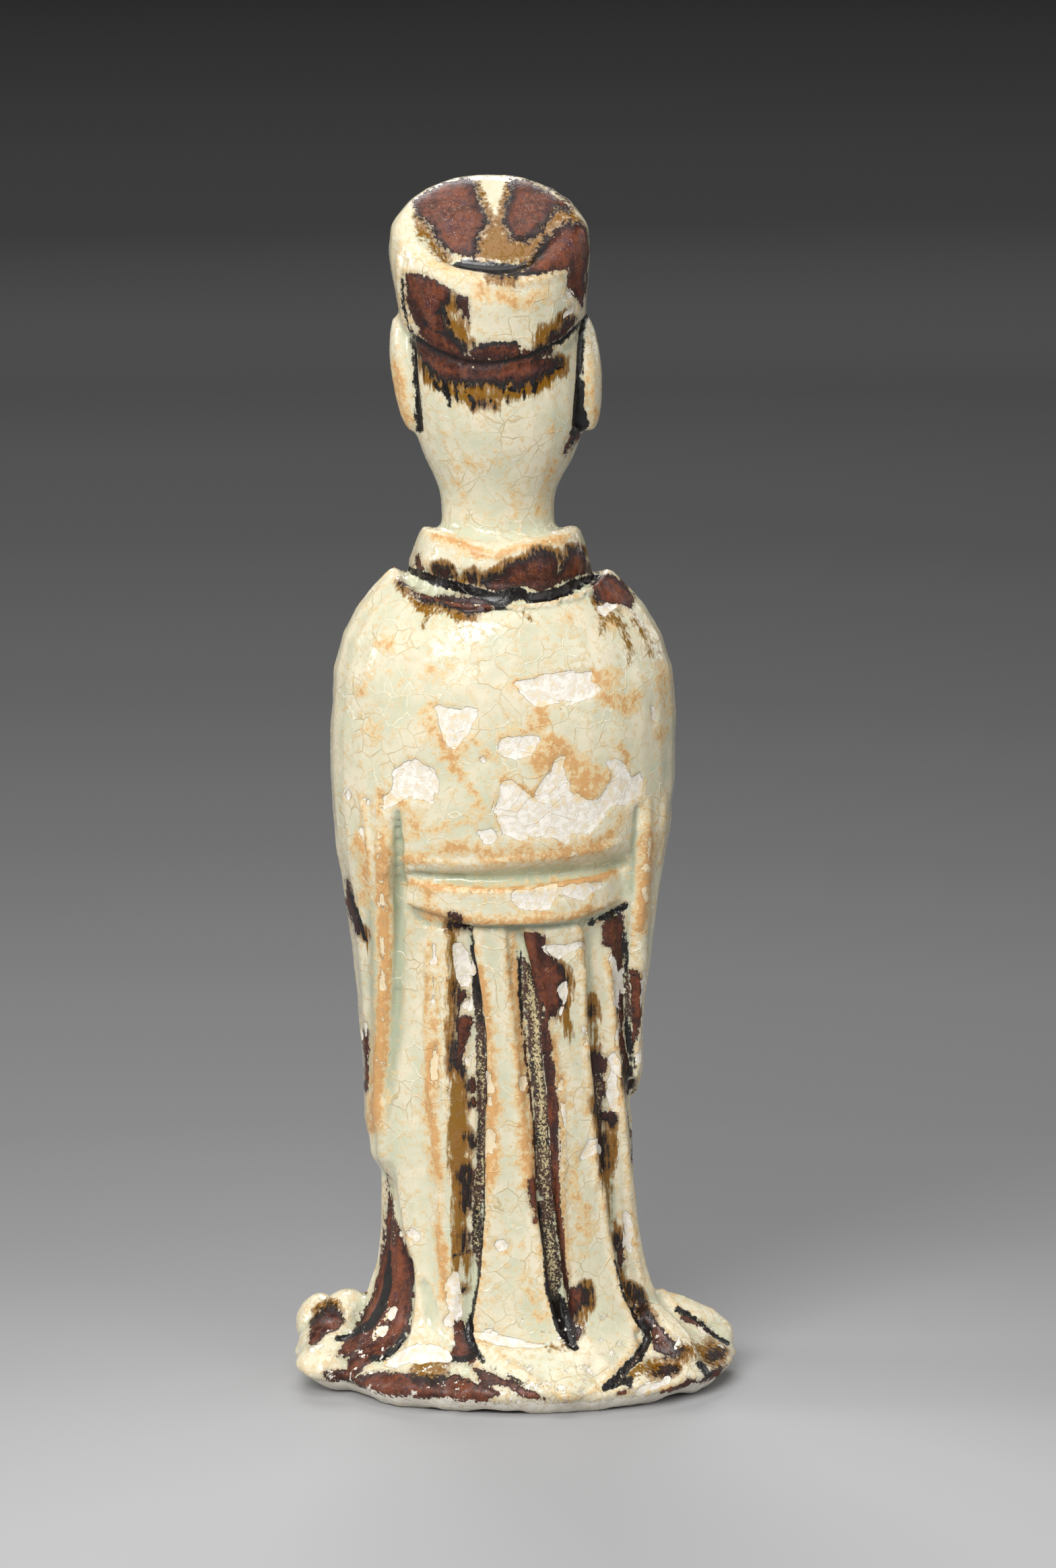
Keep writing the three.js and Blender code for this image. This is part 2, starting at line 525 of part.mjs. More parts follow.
function geometryOf(manifold) {
  const { vertProperties, triVerts } = manifold.getMesh();
  const geometry = new THREE.BufferGeometry();
  geometry.setAttribute('position', new THREE.BufferAttribute(vertProperties, 3));
  geometry.setIndex(new THREE.BufferAttribute(triVerts, 1));
  geometry.computeVertexNormals();
  return geometry;
}

// Stands the figure on the middle of its bounding box
function onItsOrigin(geometry) {
  geometry.computeBoundingBox();
  const middle = geometry.boundingBox.getCenter(new THREE.Vector3());
  return geometry.translate(-middle.x, -middle.y, -geometry.boundingBox.min.z);
}

const forms = [
  robe(), backPanel(), ...hemLumps(), ...shoes(),
  jacket(), lapel(1), lapel(-1), belt(1), belt(-1), ...SLEEVES.map(sleeve), ...arms(),
  ...hands(), ...ram(),
  collar(), head(), ...features(), ...ears(), cap(),
];
const figure = joined(forms).subtract(joined(notches())).trimByPlane([0, 0, 1], 0);

const glaze = new THREE.MeshStandardMaterial({ color: '#dcd8bf', roughness: 0.25, metalness: 0 });
const mesh = new THREE.Mesh(onItsOrigin(geometryOf(figure)), glaze);
mesh.name = 'zodiac_figure';
const part = new THREE.Group();
part.add(mesh);

export default part;
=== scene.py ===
# The looks of a standing figure in glazed stoneware: an official in a long robe and soft cap,
# holding a small ram. The main camera sees it from behind.
import math

import bpy
import numpy as np
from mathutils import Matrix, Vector


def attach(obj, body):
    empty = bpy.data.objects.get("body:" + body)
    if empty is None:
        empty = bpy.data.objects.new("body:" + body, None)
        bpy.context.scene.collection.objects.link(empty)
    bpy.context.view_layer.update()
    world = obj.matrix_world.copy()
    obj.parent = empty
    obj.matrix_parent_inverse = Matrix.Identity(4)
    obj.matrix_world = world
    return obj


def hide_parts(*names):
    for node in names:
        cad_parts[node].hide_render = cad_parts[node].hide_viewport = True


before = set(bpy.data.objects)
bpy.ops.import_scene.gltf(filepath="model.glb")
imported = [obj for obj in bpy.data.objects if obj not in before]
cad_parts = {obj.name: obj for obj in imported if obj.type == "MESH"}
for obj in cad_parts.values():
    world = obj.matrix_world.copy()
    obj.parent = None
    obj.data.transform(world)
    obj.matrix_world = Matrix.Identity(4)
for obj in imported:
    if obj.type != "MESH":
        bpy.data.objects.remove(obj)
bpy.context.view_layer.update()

MM = 0.001
scene = bpy.context.scene

# The main view: from behind the figure and a little above it
CAMERA_AWAY = 1.3
CAMERA_TILT = math.radians(11)
CAMERA_TARGET = Vector((-0.0017, 0, 0.1056))
SEEN_HEIGHT = 0.2703  # the frame's height at the target
SENSOR = 36
camera_place = CAMERA_TARGET + CAMERA_AWAY * Vector((0, math.cos(CAMERA_TILT), math.sin(CAMERA_TILT)))


# The marks of the glaze. The back's were placed on enlarged parts of the photograph and
#  are kept as they were placed. A part has the photograph's pixel at its left and top, and how far
#  it is enlarged.
PHOTO_WIDE, PHOTO_HIGH = 1568, 2328
PIXEL = 0.1161  # the size of one of its pixels at the figure's middle, in millimetres
PARTS = {
    "cap": (560, 240, 4),
    "neck": (560, 620, 4),
    "jacket": (500, 880, 3),
    "robe": (500, 1240, 3),
    "pleats": (660, 1240 + 400 / 3, 3),
    "hem": (420, 1740, 2.5),
    "foot": (644, 1740, 2.5),
    "band": (540, 220, 3.73),
    "ears": (540, 560, 3.564),
    "belt": (460, 1160, 2.703),
    "sides": (480, 1300, 3.015),
    "rim": (400, 1700, 2.119),
}

# A mark is the enlarged pixels round an outline, from the left and the top of its part, or the
# same with half the width along a stroke.

# Splashes of iron-brown glaze
IRON = {
    "cap": {
        "crown left": [(210, 240), (300, 170), (400, 125), (520, 100), (585, 120), (610, 240), (655, 330),
            (660, 370), (605, 440), (600, 560), (540, 565), (420, 540), (350, 460), (330, 400), (280, 350),
            (230, 310)],
        "crown middle": [(785, 100), (900, 115), (960, 140), (1040, 190), (1150, 270), (1140, 295),
            (1050, 275), (1030, 340), (960, 430), (900, 470), (790, 460), (775, 410), (745, 350),
            (755, 300), (790, 180)],
        "crown right": [(1060, 400), (1110, 370), (1200, 365), (1240, 400), (1265, 520), (1240, 640),
            (1240, 760), (1215, 860), (1150, 770), (1120, 740), (1140, 640), (1040, 655), (900, 680),
            (700, 690), (650, 670), (760, 660), (880, 640), (950, 560), (960, 500), (1000, 450)],
        "band left": [(170, 660), (250, 655), (320, 690), (400, 730), (450, 770), (440, 800), (400, 860),
            (400, 930), (410, 990), (530, 1110), (520, 1170), (430, 1160), (330, 1100), (250, 1030),
            (190, 850)],
        "band finger": [(460, 810), (500, 795), (545, 810), (550, 880), (545, 960), (520, 930), (500, 880),
            (470, 870)],
        "band low": [(560, 1090), (700, 1075), (830, 1070), (860, 1110), (930, 1130), (880, 1160),
            (640, 1185), (560, 1170), (540, 1120)],
        "band right": [(1110, 940), (1180, 910), (1190, 950), (1150, 1010), (1080, 1060), (1020, 1080),
            (1030, 1020), (1080, 1000)],
        "hair": [(200, 1050), (330, 1130), (450, 1190), (600, 1215), (780, 1200), (950, 1170), (1060, 1160),
            (1100, 1180), (1090, 1220), (960, 1290), (880, 1320), (640, 1325), (520, 1335), (420, 1310),
            (340, 1290), (280, 1220), (240, 1140)],
        "seam brown": [(240, 1060, 20), (330, 1115, 30), (480, 1180, 36), (620, 1205, 36), (760, 1195, 36),
            (900, 1165, 32), (1020, 1115, 24)],
        "hair dot": [(590, 1430), (620, 1418), (670, 1432), (680, 1455), (640, 1460), (600, 1455)],
    },
    "neck": {
        "ear drip": [(1170, 80), (1240, 90), (1190, 130), (1120, 225), (1095, 215), (1110, 170),
            (1140, 120)],
        "collar left": [(230, 800), (250, 810), (255, 860), (262, 905), (240, 915), (205, 890)],
        "collar hump": [(320, 925), (335, 885), (380, 875), (430, 895), (440, 960), (380, 965)],
        "collar peak": [(510, 960), (540, 920), (575, 910), (580, 960), (600, 990), (570, 1000)],
        "collar main": [(600, 990), (630, 950), (720, 930), (780, 870), (850, 850), (930, 800), (960, 780),
            (1060, 805), (1090, 850), (1097, 925), (1110, 860), (1130, 790), (1180, 775), (1230, 790),
            (1260, 860), (1285, 920), (1180, 960), (1000, 1035), (860, 1000), (720, 1040), (640, 1030)],
        "jacket strip": [(130, 970), (200, 1010), (300, 1040), (450, 1055), (675, 1080), (680, 1130),
            (550, 1150), (480, 1125), (430, 1110), (330, 1080), (240, 1075), (190, 1010)],
        "shoulder right": [(1265, 980), (1330, 940), (1390, 925), (1460, 970), (1530, 1060), (1530, 1130),
            (1440, 1090), (1380, 1095), (1330, 1070), (1305, 1030)],
    },
    "robe": {
        "second pleat top": [(515, 400, 14), (560, 402, 16), (592, 425, 9)],
    },
    "pleats": {
        "second pleat 1": [(50, 255), (70, 285), (95, 295), (105, 320), (85, 330), (70, 360), (65, 400),
            (55, 380), (45, 330), (48, 290)],
        "second pleat 2": [(65, 405), (95, 400), (130, 410), (130, 440), (110, 500), (100, 530), (85, 570),
            (75, 600), (90, 640), (80, 670), (60, 650), (40, 640), (30, 600), (40, 540), (45, 480),
            (50, 430)],
        "second pleat 3": [(120, 690, 18), (128, 735, 16)],
        "second pleat 4": [(128, 770, 16), (130, 800, 16)],
        "second pleat 5": [(118, 940, 20), (128, 980, 18)],
        "second pleat 6": [(95, 1090, 22), (112, 1130, 20)],
        "third pleat top": [(350, 40), (380, 30), (430, 40), (455, 70), (440, 100), (470, 130), (500, 170),
            (530, 190), (550, 230), (540, 260), (520, 270), (515, 310), (530, 340), (500, 400), (470, 415),
            (450, 390), (430, 330), (410, 270), (390, 200), (370, 150), (350, 100)],
        "third pleat dot": [(600, 80, 14)],
        "third pleat strip": [(385, 200, 10), (415, 320, 12), (440, 420, 14), (450, 520, 20),
            (466, 620, 24), (476, 720, 24), (482, 820, 26), (488, 920, 24), (486, 1020, 26),
            (484, 1160, 22)],
        "third pleat left": [(330, 300, 6), (350, 480, 7), (362, 620, 8), (380, 760, 8), (395, 900, 9),
            (400, 1000, 9), (405, 1160, 9)],
        "fourth pleat dot": [(658, 390, 16)],
        "fourth pleat 1": [(655, 580), (680, 570), (720, 590), (725, 640), (700, 670), (715, 700),
            (720, 760), (700, 800), (720, 840), (755, 820), (760, 870), (740, 900), (715, 880), (710, 910),
            (680, 900), (665, 840), (660, 760), (665, 660)],
        "fourth pleat 2": [(700, 930, 16), (708, 1000, 18), (712, 1080, 12)],
        "fifth pleat 1": [(700, 0), (795, 0), (790, 60), (795, 150), (785, 200), (800, 330), (800, 430),
            (790, 480), (780, 420), (775, 300), (750, 220), (740, 100), (725, 40)],
        "fifth pleat 2": [(785, 480, 14), (800, 580, 16), (820, 660, 18), (835, 760, 12), (840, 900, 10)],
        "fifth pleat 3": [(820, 200), (850, 195), (875, 230), (885, 300), (885, 380), (870, 420),
            (870, 480), (850, 560), (835, 540), (840, 400), (835, 300)],
    },
    "hem": {
        "tail": [(385, 10), (400, 140), (430, 200), (465, 300), (480, 350), (475, 500), (465, 590),
            (370, 690), (320, 710), (280, 760), (230, 790), (135, 780), (150, 740), (240, 730), (250, 690),
            (200, 680), (225, 630), (270, 560), (330, 440), (350, 340), (370, 200)],
        "lump": [(95, 560), (130, 515), (170, 490), (215, 515), (235, 560), (200, 590), (160, 600),
            (130, 640), (95, 650)],
        "hem rim": [(250, 770), (330, 735), (450, 745), (520, 770), (640, 745), (720, 780), (830, 825),
            (760, 845), (750, 885), (640, 890), (560, 850), (520, 855), (630, 895), (560, 905), (400, 880),
            (300, 850), (250, 800)],
        "hem stripe": [(690, 715), (760, 740), (860, 780), (940, 820), (990, 850), (900, 845), (830, 800),
            (740, 790)],
        "hem fold": [(630, 545), (670, 550), (690, 650), (730, 690), (700, 710), (620, 695), (640, 640)],
        "third pleat burst": [(1060, 430), (1110, 415), (1150, 440), (1130, 480), (1090, 510), (1080, 550),
            (1110, 600), (1090, 640), (1060, 560), (1050, 480)],
        "hem right": [(1290, 420), (1330, 450), (1360, 520), (1400, 570), (1450, 620), (1490, 670),
            (1450, 695), (1380, 670), (1370, 620), (1330, 560)],
        "hem right low": [(1380, 740), (1440, 722), (1470, 735), (1420, 755)],
        "fifth pleat stroke": [(1255, 250, 8), (1255, 300, 12), (1262, 335, 9)],
        "second pleat 1": [(668, 0, 14), (680, 60, 14), (684, 130, 14)],
        "second pleat 2": [(675, 235, 12), (672, 272, 8)],
        "second pleat 3": [(668, 440, 9)],
    },
    "foot": {
        "third pleat foot": [(444, 0, 22), (450, 100, 20), (462, 200, 18), (475, 290, 12), (488, 400, 12),
            (505, 470, 10)],
        "third pleat foot left": [(365, 30, 12), (370, 110, 14), (376, 180, 7)],
        "fourth pleat foot": [(688, 245, 12), (698, 300, 16), (704, 345, 9)],
        "hem edge": [(830, 865), (870, 830), (920, 800), (935, 765), (1000, 770), (1010, 800), (940, 815),
            (890, 840), (850, 862)],
    },
    "sides": {
        "belt dab": [(565, 175, 12), (600, 190, 18), (618, 210, 10)],
        "side right": [(1250, 205), (1340, 165), (1345, 230), (1345, 700), (1390, 920), (1385, 985),
            (1350, 930), (1330, 750), (1320, 600), (1300, 400), (1280, 320), (1250, 310)],
        "side right low": [(1400, 450, 22), (1405, 560, 28), (1405, 680, 22), (1385, 760, 14)],
        "side right foot": [(1388, 985, 12), (1396, 1080, 8), (1386, 1280, 7)],
        "flank left high": [(103, 20, 8), (125, 140, 20), (155, 250, 18)],
        "flank left low": [(192, 700, 12), (200, 850, 14), (190, 960, 10)],
    },
    "rim": {
        "hem dash": [(1215, 722, 9), (1268, 706, 8)],
        "rim right": [(1215, 812), (1260, 770), (1335, 745), (1345, 765), (1300, 800), (1230, 825)],
        "rim right end": [(1345, 765), (1400, 705), (1455, 690), (1440, 740), (1370, 775)],
        "rim spot": [(1110, 780, 8), (1130, 778, 6)],
        "hem far": [(1310, 545, 12), (1360, 570, 14), (1400, 610, 10)],
        "hem far low": [(1395, 665, 14), (1420, 658, 10)],
    },
}

# Lines and blots where the iron lies thick and black
INK = {
    "cap": {
        "ear left": [(160, 700, 4), (165, 850, 6), (195, 980, 8), (215, 1100, 12), (225, 1300, 14),
            (240, 1500, 18), (248, 1590, 20)],
        "ear right": [(1250, 900, 12), (1215, 1000, 14), (1205, 1200, 18), (1195, 1400, 22),
            (1190, 1560, 30)],
        "seam": [(215, 1040, 6), (330, 1120, 9), (480, 1180, 8), (620, 1205, 6), (760, 1190, 7),
            (900, 1160, 10), (1100, 1065, 14), (1235, 945, 14)],
        "crease": [(430, 600, 8), (500, 605, 20), (600, 612, 28), (700, 628, 32), (800, 630, 24),
            (900, 605, 12), (960, 560, 6), (1000, 500, 4)],
        "crease low": [(660, 672, 8), (720, 680, 10), (900, 668, 8), (1030, 655, 5)],
        "band 1": [(350, 900, 14), (390, 880, 18), (420, 930, 12), (440, 1040, 8), (510, 1120, 14),
            (520, 1160, 8)],
        "band 2": [(265, 930, 5), (300, 990, 8), (400, 1030, 6), (470, 1050, 8)],
        "band low": [(570, 1085, 12), (620, 1100, 14), (700, 1080, 8), (820, 1075, 12), (850, 1100, 10)],
        "hair 1": [(300, 1190, 8), (325, 1260, 14), (350, 1320, 14), (372, 1370, 6)],
        "hair 2": [(392, 1290, 8), (404, 1360, 20), (425, 1405, 14), (432, 1450, 4)],
        "hair 3": [(520, 1330, 8), (545, 1390, 12), (575, 1430, 14), (560, 1480, 6)],
        "hair 4": [(655, 1330, 6), (668, 1400, 12), (690, 1460, 6)],
        "hair 5": [(455, 1300, 6), (470, 1370, 12), (480, 1420, 5)],
        "hair 6": [(745, 1320, 8), (760, 1380, 10), (772, 1430, 4)],
        "hair 7": [(855, 1310, 8), (868, 1370, 12), (872, 1410, 4)],
        "hair 8": [(480, 1300, 9), (560, 1315, 9)],
        "hair 9": [(690, 1320, 9), (770, 1320, 12), (810, 1360, 16)],
        "hair 10": [(910, 1300, 14), (940, 1320, 14), (930, 1370, 10)],
        "hair 11": [(1020, 1260, 12), (1090, 1210, 14)],
    },
    "neck": {
        "ear right end": [(1190, 10, 34), (1210, 50, 34), (1160, 90, 16)],
        "collar gap": [(1090, 850, 5), (1096, 915, 6)],
        "neck lump": [(690, 1070), (700, 1040), (740, 1030), (790, 1005), (860, 1000), (930, 1050),
            (870, 1080), (810, 1085), (790, 1110), (720, 1130), (680, 1110)],
        "neck line": [(900, 1065, 20), (1010, 1065, 26), (1100, 1035, 26), (1200, 985, 24),
            (1305, 930, 18)],
        "neck left": [(180, 890, 14), (240, 930, 24), (310, 965, 30), (400, 990, 32), (500, 1015, 32),
            (580, 1035, 30), (680, 1065, 26)],
    },
    "pleats": {
        "second pleat": [(118, 20, 9), (122, 100, 11), (130, 200, 12), (142, 320, 14), (150, 420, 10)],
        "second pleat right": [(160, 420, 5), (180, 520, 6), (184, 700, 6), (180, 900, 6), (184, 1160, 8)],
        "third pleat left": [(328, 120, 8), (330, 200, 8), (338, 350, 5), (355, 480, 4)],
        "fifth pleat": [(800, 30, 8), (800, 100, 12), (808, 200, 8), (812, 300, 9), (815, 400, 9),
            (822, 480, 12), (838, 580, 11), (845, 640, 9)],
    },
    "hem": {
        "second pleat cut": [(634, 312, 4), (660, 300, 5), (698, 297, 4)],
        "second pleat foot left": [(622, 690, 8), (660, 694, 11), (700, 690, 12)],
        "specks 1": [(880, 900, 8), (880, 901, 8)],
        "specks 2": [(1160, 905, 8), (1161, 905, 8)],
        "specks 3": [(1295, 870, 12), (1296, 872, 12)],
        "specks 4": [(1050, 866, 9), (1060, 870, 7)],
        "specks 5": [(1240, 780, 10), (1285, 770, 14), (1290, 800, 8)],
        "tail dark": [(392, 300, 10), (390, 420, 16), (372, 500, 20), (330, 560, 18), (270, 595, 16),
            (205, 620, 12)],
        "tail low": [(452, 600, 6), (420, 650, 8), (370, 690, 9), (330, 690, 12)],
    },
    "foot": {
        "third pleat foot": [(400, 120, 10), (405, 160, 14), (418, 300, 12), (432, 420, 22), (462, 500, 32),
            (485, 580, 32), (508, 630, 22), (526, 655, 12)],
        "second pleat foot": [(188, 0, 6), (186, 150, 8), (172, 300, 8), (160, 420, 10), (140, 520, 12),
            (128, 600, 14), (150, 660, 12), (185, 705, 9)],
        "fourth pleat foot": [(668, 330, 5), (690, 420, 7), (715, 480, 9), (750, 540, 10), (785, 585, 14),
            (795, 620, 14)],
        "apron right": [(790, 630, 16), (760, 690, 18), (720, 720, 16), (690, 765, 20), (640, 800, 16)],
    },
    "ears": {
        "ear line left end": [(280, 40, 16), (290, 200, 18), (296, 275, 8)],
        "ear line right end": [(1150, 40, 22), (1140, 160, 24), (1158, 240, 36)],
    },
    "sides": {
        "belt under right": [(1190, 215, 10), (1280, 185, 14), (1350, 140, 14)],
        "flank black": [(122, 80, 6), (160, 200, 9), (185, 290, 6)],
    },
    "rim": {
        "rim grey 1": [(1355, 690, 12), (1395, 720, 14)],
        "rim grey 2": [(1440, 625, 10), (1420, 615, 8)],
        "far line": [(1280, 515, 10), (1340, 545, 7), (1420, 620, 6)],
    },
}

# Grit that has stuck in the grooves
CRUST = {
    "cap": {
        "crown grit": [(920, 115, 6), (1000, 150, 8), (1080, 200, 10), (1140, 250, 8)],
    },
    "neck": {
        "neck": [(185, 895, -8), (240, 930, 2), (310, 965, 6), (400, 990, 8), (500, 1015, 8),
            (580, 1035, 2), (660, 1060, -4)],
        "neck right": [(900, 1055, -8), (1010, 1055, 2), (1100, 1025, 4), (1200, 975, 0), (1300, 930, -8)],
    },
    "pleats": {
        "third pleat": [(345, 160, 14), (372, 260, 28), (388, 350, 38), (400, 450, 38), (408, 600, 36),
            (422, 750, 34), (430, 900, 30), (435, 1000, 28), (440, 1160, 28)],
        "second pleat": [(132, 290, 4), (150, 450, 16), (160, 600, 20), (165, 700, 22), (165, 850, 22),
            (165, 1160, 22)],
        "fourth pleat": [(685, 620, 6), (690, 700, 20), (690, 820, 18), (700, 940, 8)],
        "fifth pleat": [(812, 200, 4), (818, 320, 14), (825, 420, 12), (830, 500, 4)],
    },
    "hem": {
        "tail": [(402, 90, 8), (410, 180, 12), (412, 270, 8)],
    },
    "foot": {
        "third pleat foot": [(408, 0, 20), (415, 100, 18), (425, 200, 22), (438, 300, 26), (450, 400, 26),
            (465, 470, 10)],
        "second pleat foot": [(160, 0, 20), (160, 120, 18), (155, 260, 14), (158, 360, 6)],
        "apron right": [(790, 630, 4), (755, 690, 8), (715, 730, 6), (690, 770, 8)],
    },
    "rim": {
        "panel edge": [(690, 690, 6), (780, 745, 8), (830, 775, 6)],
    },
}

# Iron that has bled into the clear glaze
AMBER = {
    "cap": {
        "channel": [(600, 130), (640, 200), (660, 260), (690, 350), (715, 330), (735, 260), (765, 170),
            (785, 110), (790, 180), (755, 300), (745, 350), (790, 470), (900, 470), (960, 420), (1030, 330),
            (1060, 300), (1100, 290), (1190, 325), (1060, 375), (1000, 450), (950, 540), (900, 590),
            (800, 600), (650, 590), (590, 570), (600, 480), (660, 380), (640, 270)],
        "crown side": [(235, 330), (300, 400), (330, 470), (400, 540), (440, 595), (390, 590), (320, 530),
            (300, 450), (240, 450)],
        "crease": [(660, 690, 8), (720, 700, 12), (800, 695, 10)],
        "band": [(400, 860), (440, 800), (470, 820), (470, 900), (520, 960), (545, 1000), (560, 1060),
            (520, 1080), (470, 1040), (410, 980)],
        "band olive": [(1080, 920), (1130, 880), (1150, 920), (1080, 980), (1040, 1010), (1020, 1080),
            (960, 1100), (940, 1020), (980, 960)],
        "hair": [(240, 1180), (300, 1240), (380, 1290), (520, 1310), (880, 1300), (1000, 1230),
            (1090, 1150), (1130, 1160), (1110, 1270), (1040, 1340), (960, 1380), (900, 1400), (840, 1400),
            (740, 1420), (715, 1500), (690, 1430), (600, 1430), (560, 1520), (520, 1440), (430, 1400),
            (340, 1360), (280, 1300)],
    },
    "neck": {
        "collar": [(600, 960, 8), (700, 905, 12), (780, 855, 12), (860, 825, 12), (940, 785, 12),
            (1070, 785, 8), (1100, 850, 5), (1150, 768, 7), (1230, 770, 7)],
        "collar hump": [(320, 920, 6), (340, 880, 7), (390, 867, 7), (435, 890, 7), (452, 960, 8),
            (485, 975, 8), (530, 920, 7), (580, 905, 6), (592, 960, 7)],
        "jacket 1": [(180, 1010), (250, 1085), (340, 1090), (450, 1130), (560, 1160), (600, 1200),
            (520, 1180), (470, 1210), (400, 1150), (330, 1160), (290, 1180), (255, 1260), (265, 1180),
            (220, 1110), (150, 1050), (110, 990)],
        "jacket 2": [(870, 1140, 14), (910, 1160, 12)],
        "shoulder": [(1310, 1070, 8), (1350, 1150, 10), (1370, 1240, 10)],
    },
    "jacket": {
        "shoulder 1": [(1240, 90, 14), (1290, 130, 16), (1310, 220, 14), (1315, 290, 8)],
        "shoulder 2": [(1170, 60, 8), (1190, 130, 9), (1190, 180, 5)],
        "shoulder 3": [(1340, 110, 12), (1390, 190, 12), (1400, 250, 8), (1440, 270, 6)],
    },
    "robe": {
        "second pleat": [(505, 410, 24), (520, 500, 22), (518, 600, 16), (505, 760, 18), (500, 900, 14),
            (505, 1000, 14), (535, 1080, 26), (540, 1200, 38), (545, 1300, 48), (540, 1400, 48),
            (550, 1500, 44), (548, 1560, 40)],
    },
    "pleats": {
        "third pleat": [(515, 150), (545, 180), (570, 200), (580, 260), (560, 330), (560, 400), (570, 500),
            (560, 540), (530, 470), (510, 420), (540, 370), (555, 300), (550, 230), (530, 190)],
        "fourth pleat": [(665, 320, 14), (672, 400, 18), (676, 500, 18), (668, 560, 14)],
        "fourth pleat low": [(742, 880, 16), (742, 980, 22), (738, 1080, 22), (735, 1160, 18)],
        "fourth pleat mid": [(665, 780, 12), (690, 900, 10), (712, 1100, 14)],
        "fifth pleat": [(800, 640, 8), (812, 720, 10)],
    },
    "hem": {
        "second pleat foot 1": [(650, 0, 28), (650, 150, 28), (648, 250, 26), (644, 340, 18),
            (642, 400, 8)],
        "second pleat foot 2": [(690, 310, 12), (682, 400, 12)],
    },
    "foot": {
        "fifth pleat foot": [(640, 0, 24), (650, 60, 22), (660, 180, 10), (690, 200, 14), (690, 240, 10)],
        "hem right 1": [(690, 380, 16), (715, 420, 18), (760, 470, 20), (800, 530, 14)],
        "hem right 2": [(960, 640, 8), (1000, 680, 10)],
    },
    "sides": {
        "flank amber": [(185, 250, 10), (200, 340, 6)],
    },
    "rim": {
        "burst amber": [(1000, 440, 14), (1010, 500, 10), (985, 540, 14)],
        "hem amber": [(470, 700, 20), (530, 690, 20)],
        "hem amber mid": [(870, 634, 6), (930, 632, 8)],
        "hem amber right": [(1140, 710, 12), (1200, 690, 16), (1280, 690, 10)],
        "rim amber right": [(1290, 640, 12), (1350, 640, 14), (1420, 660, 14)],
        "lump amber": [(150, 510, 12), (210, 500, 10)],
    },
}

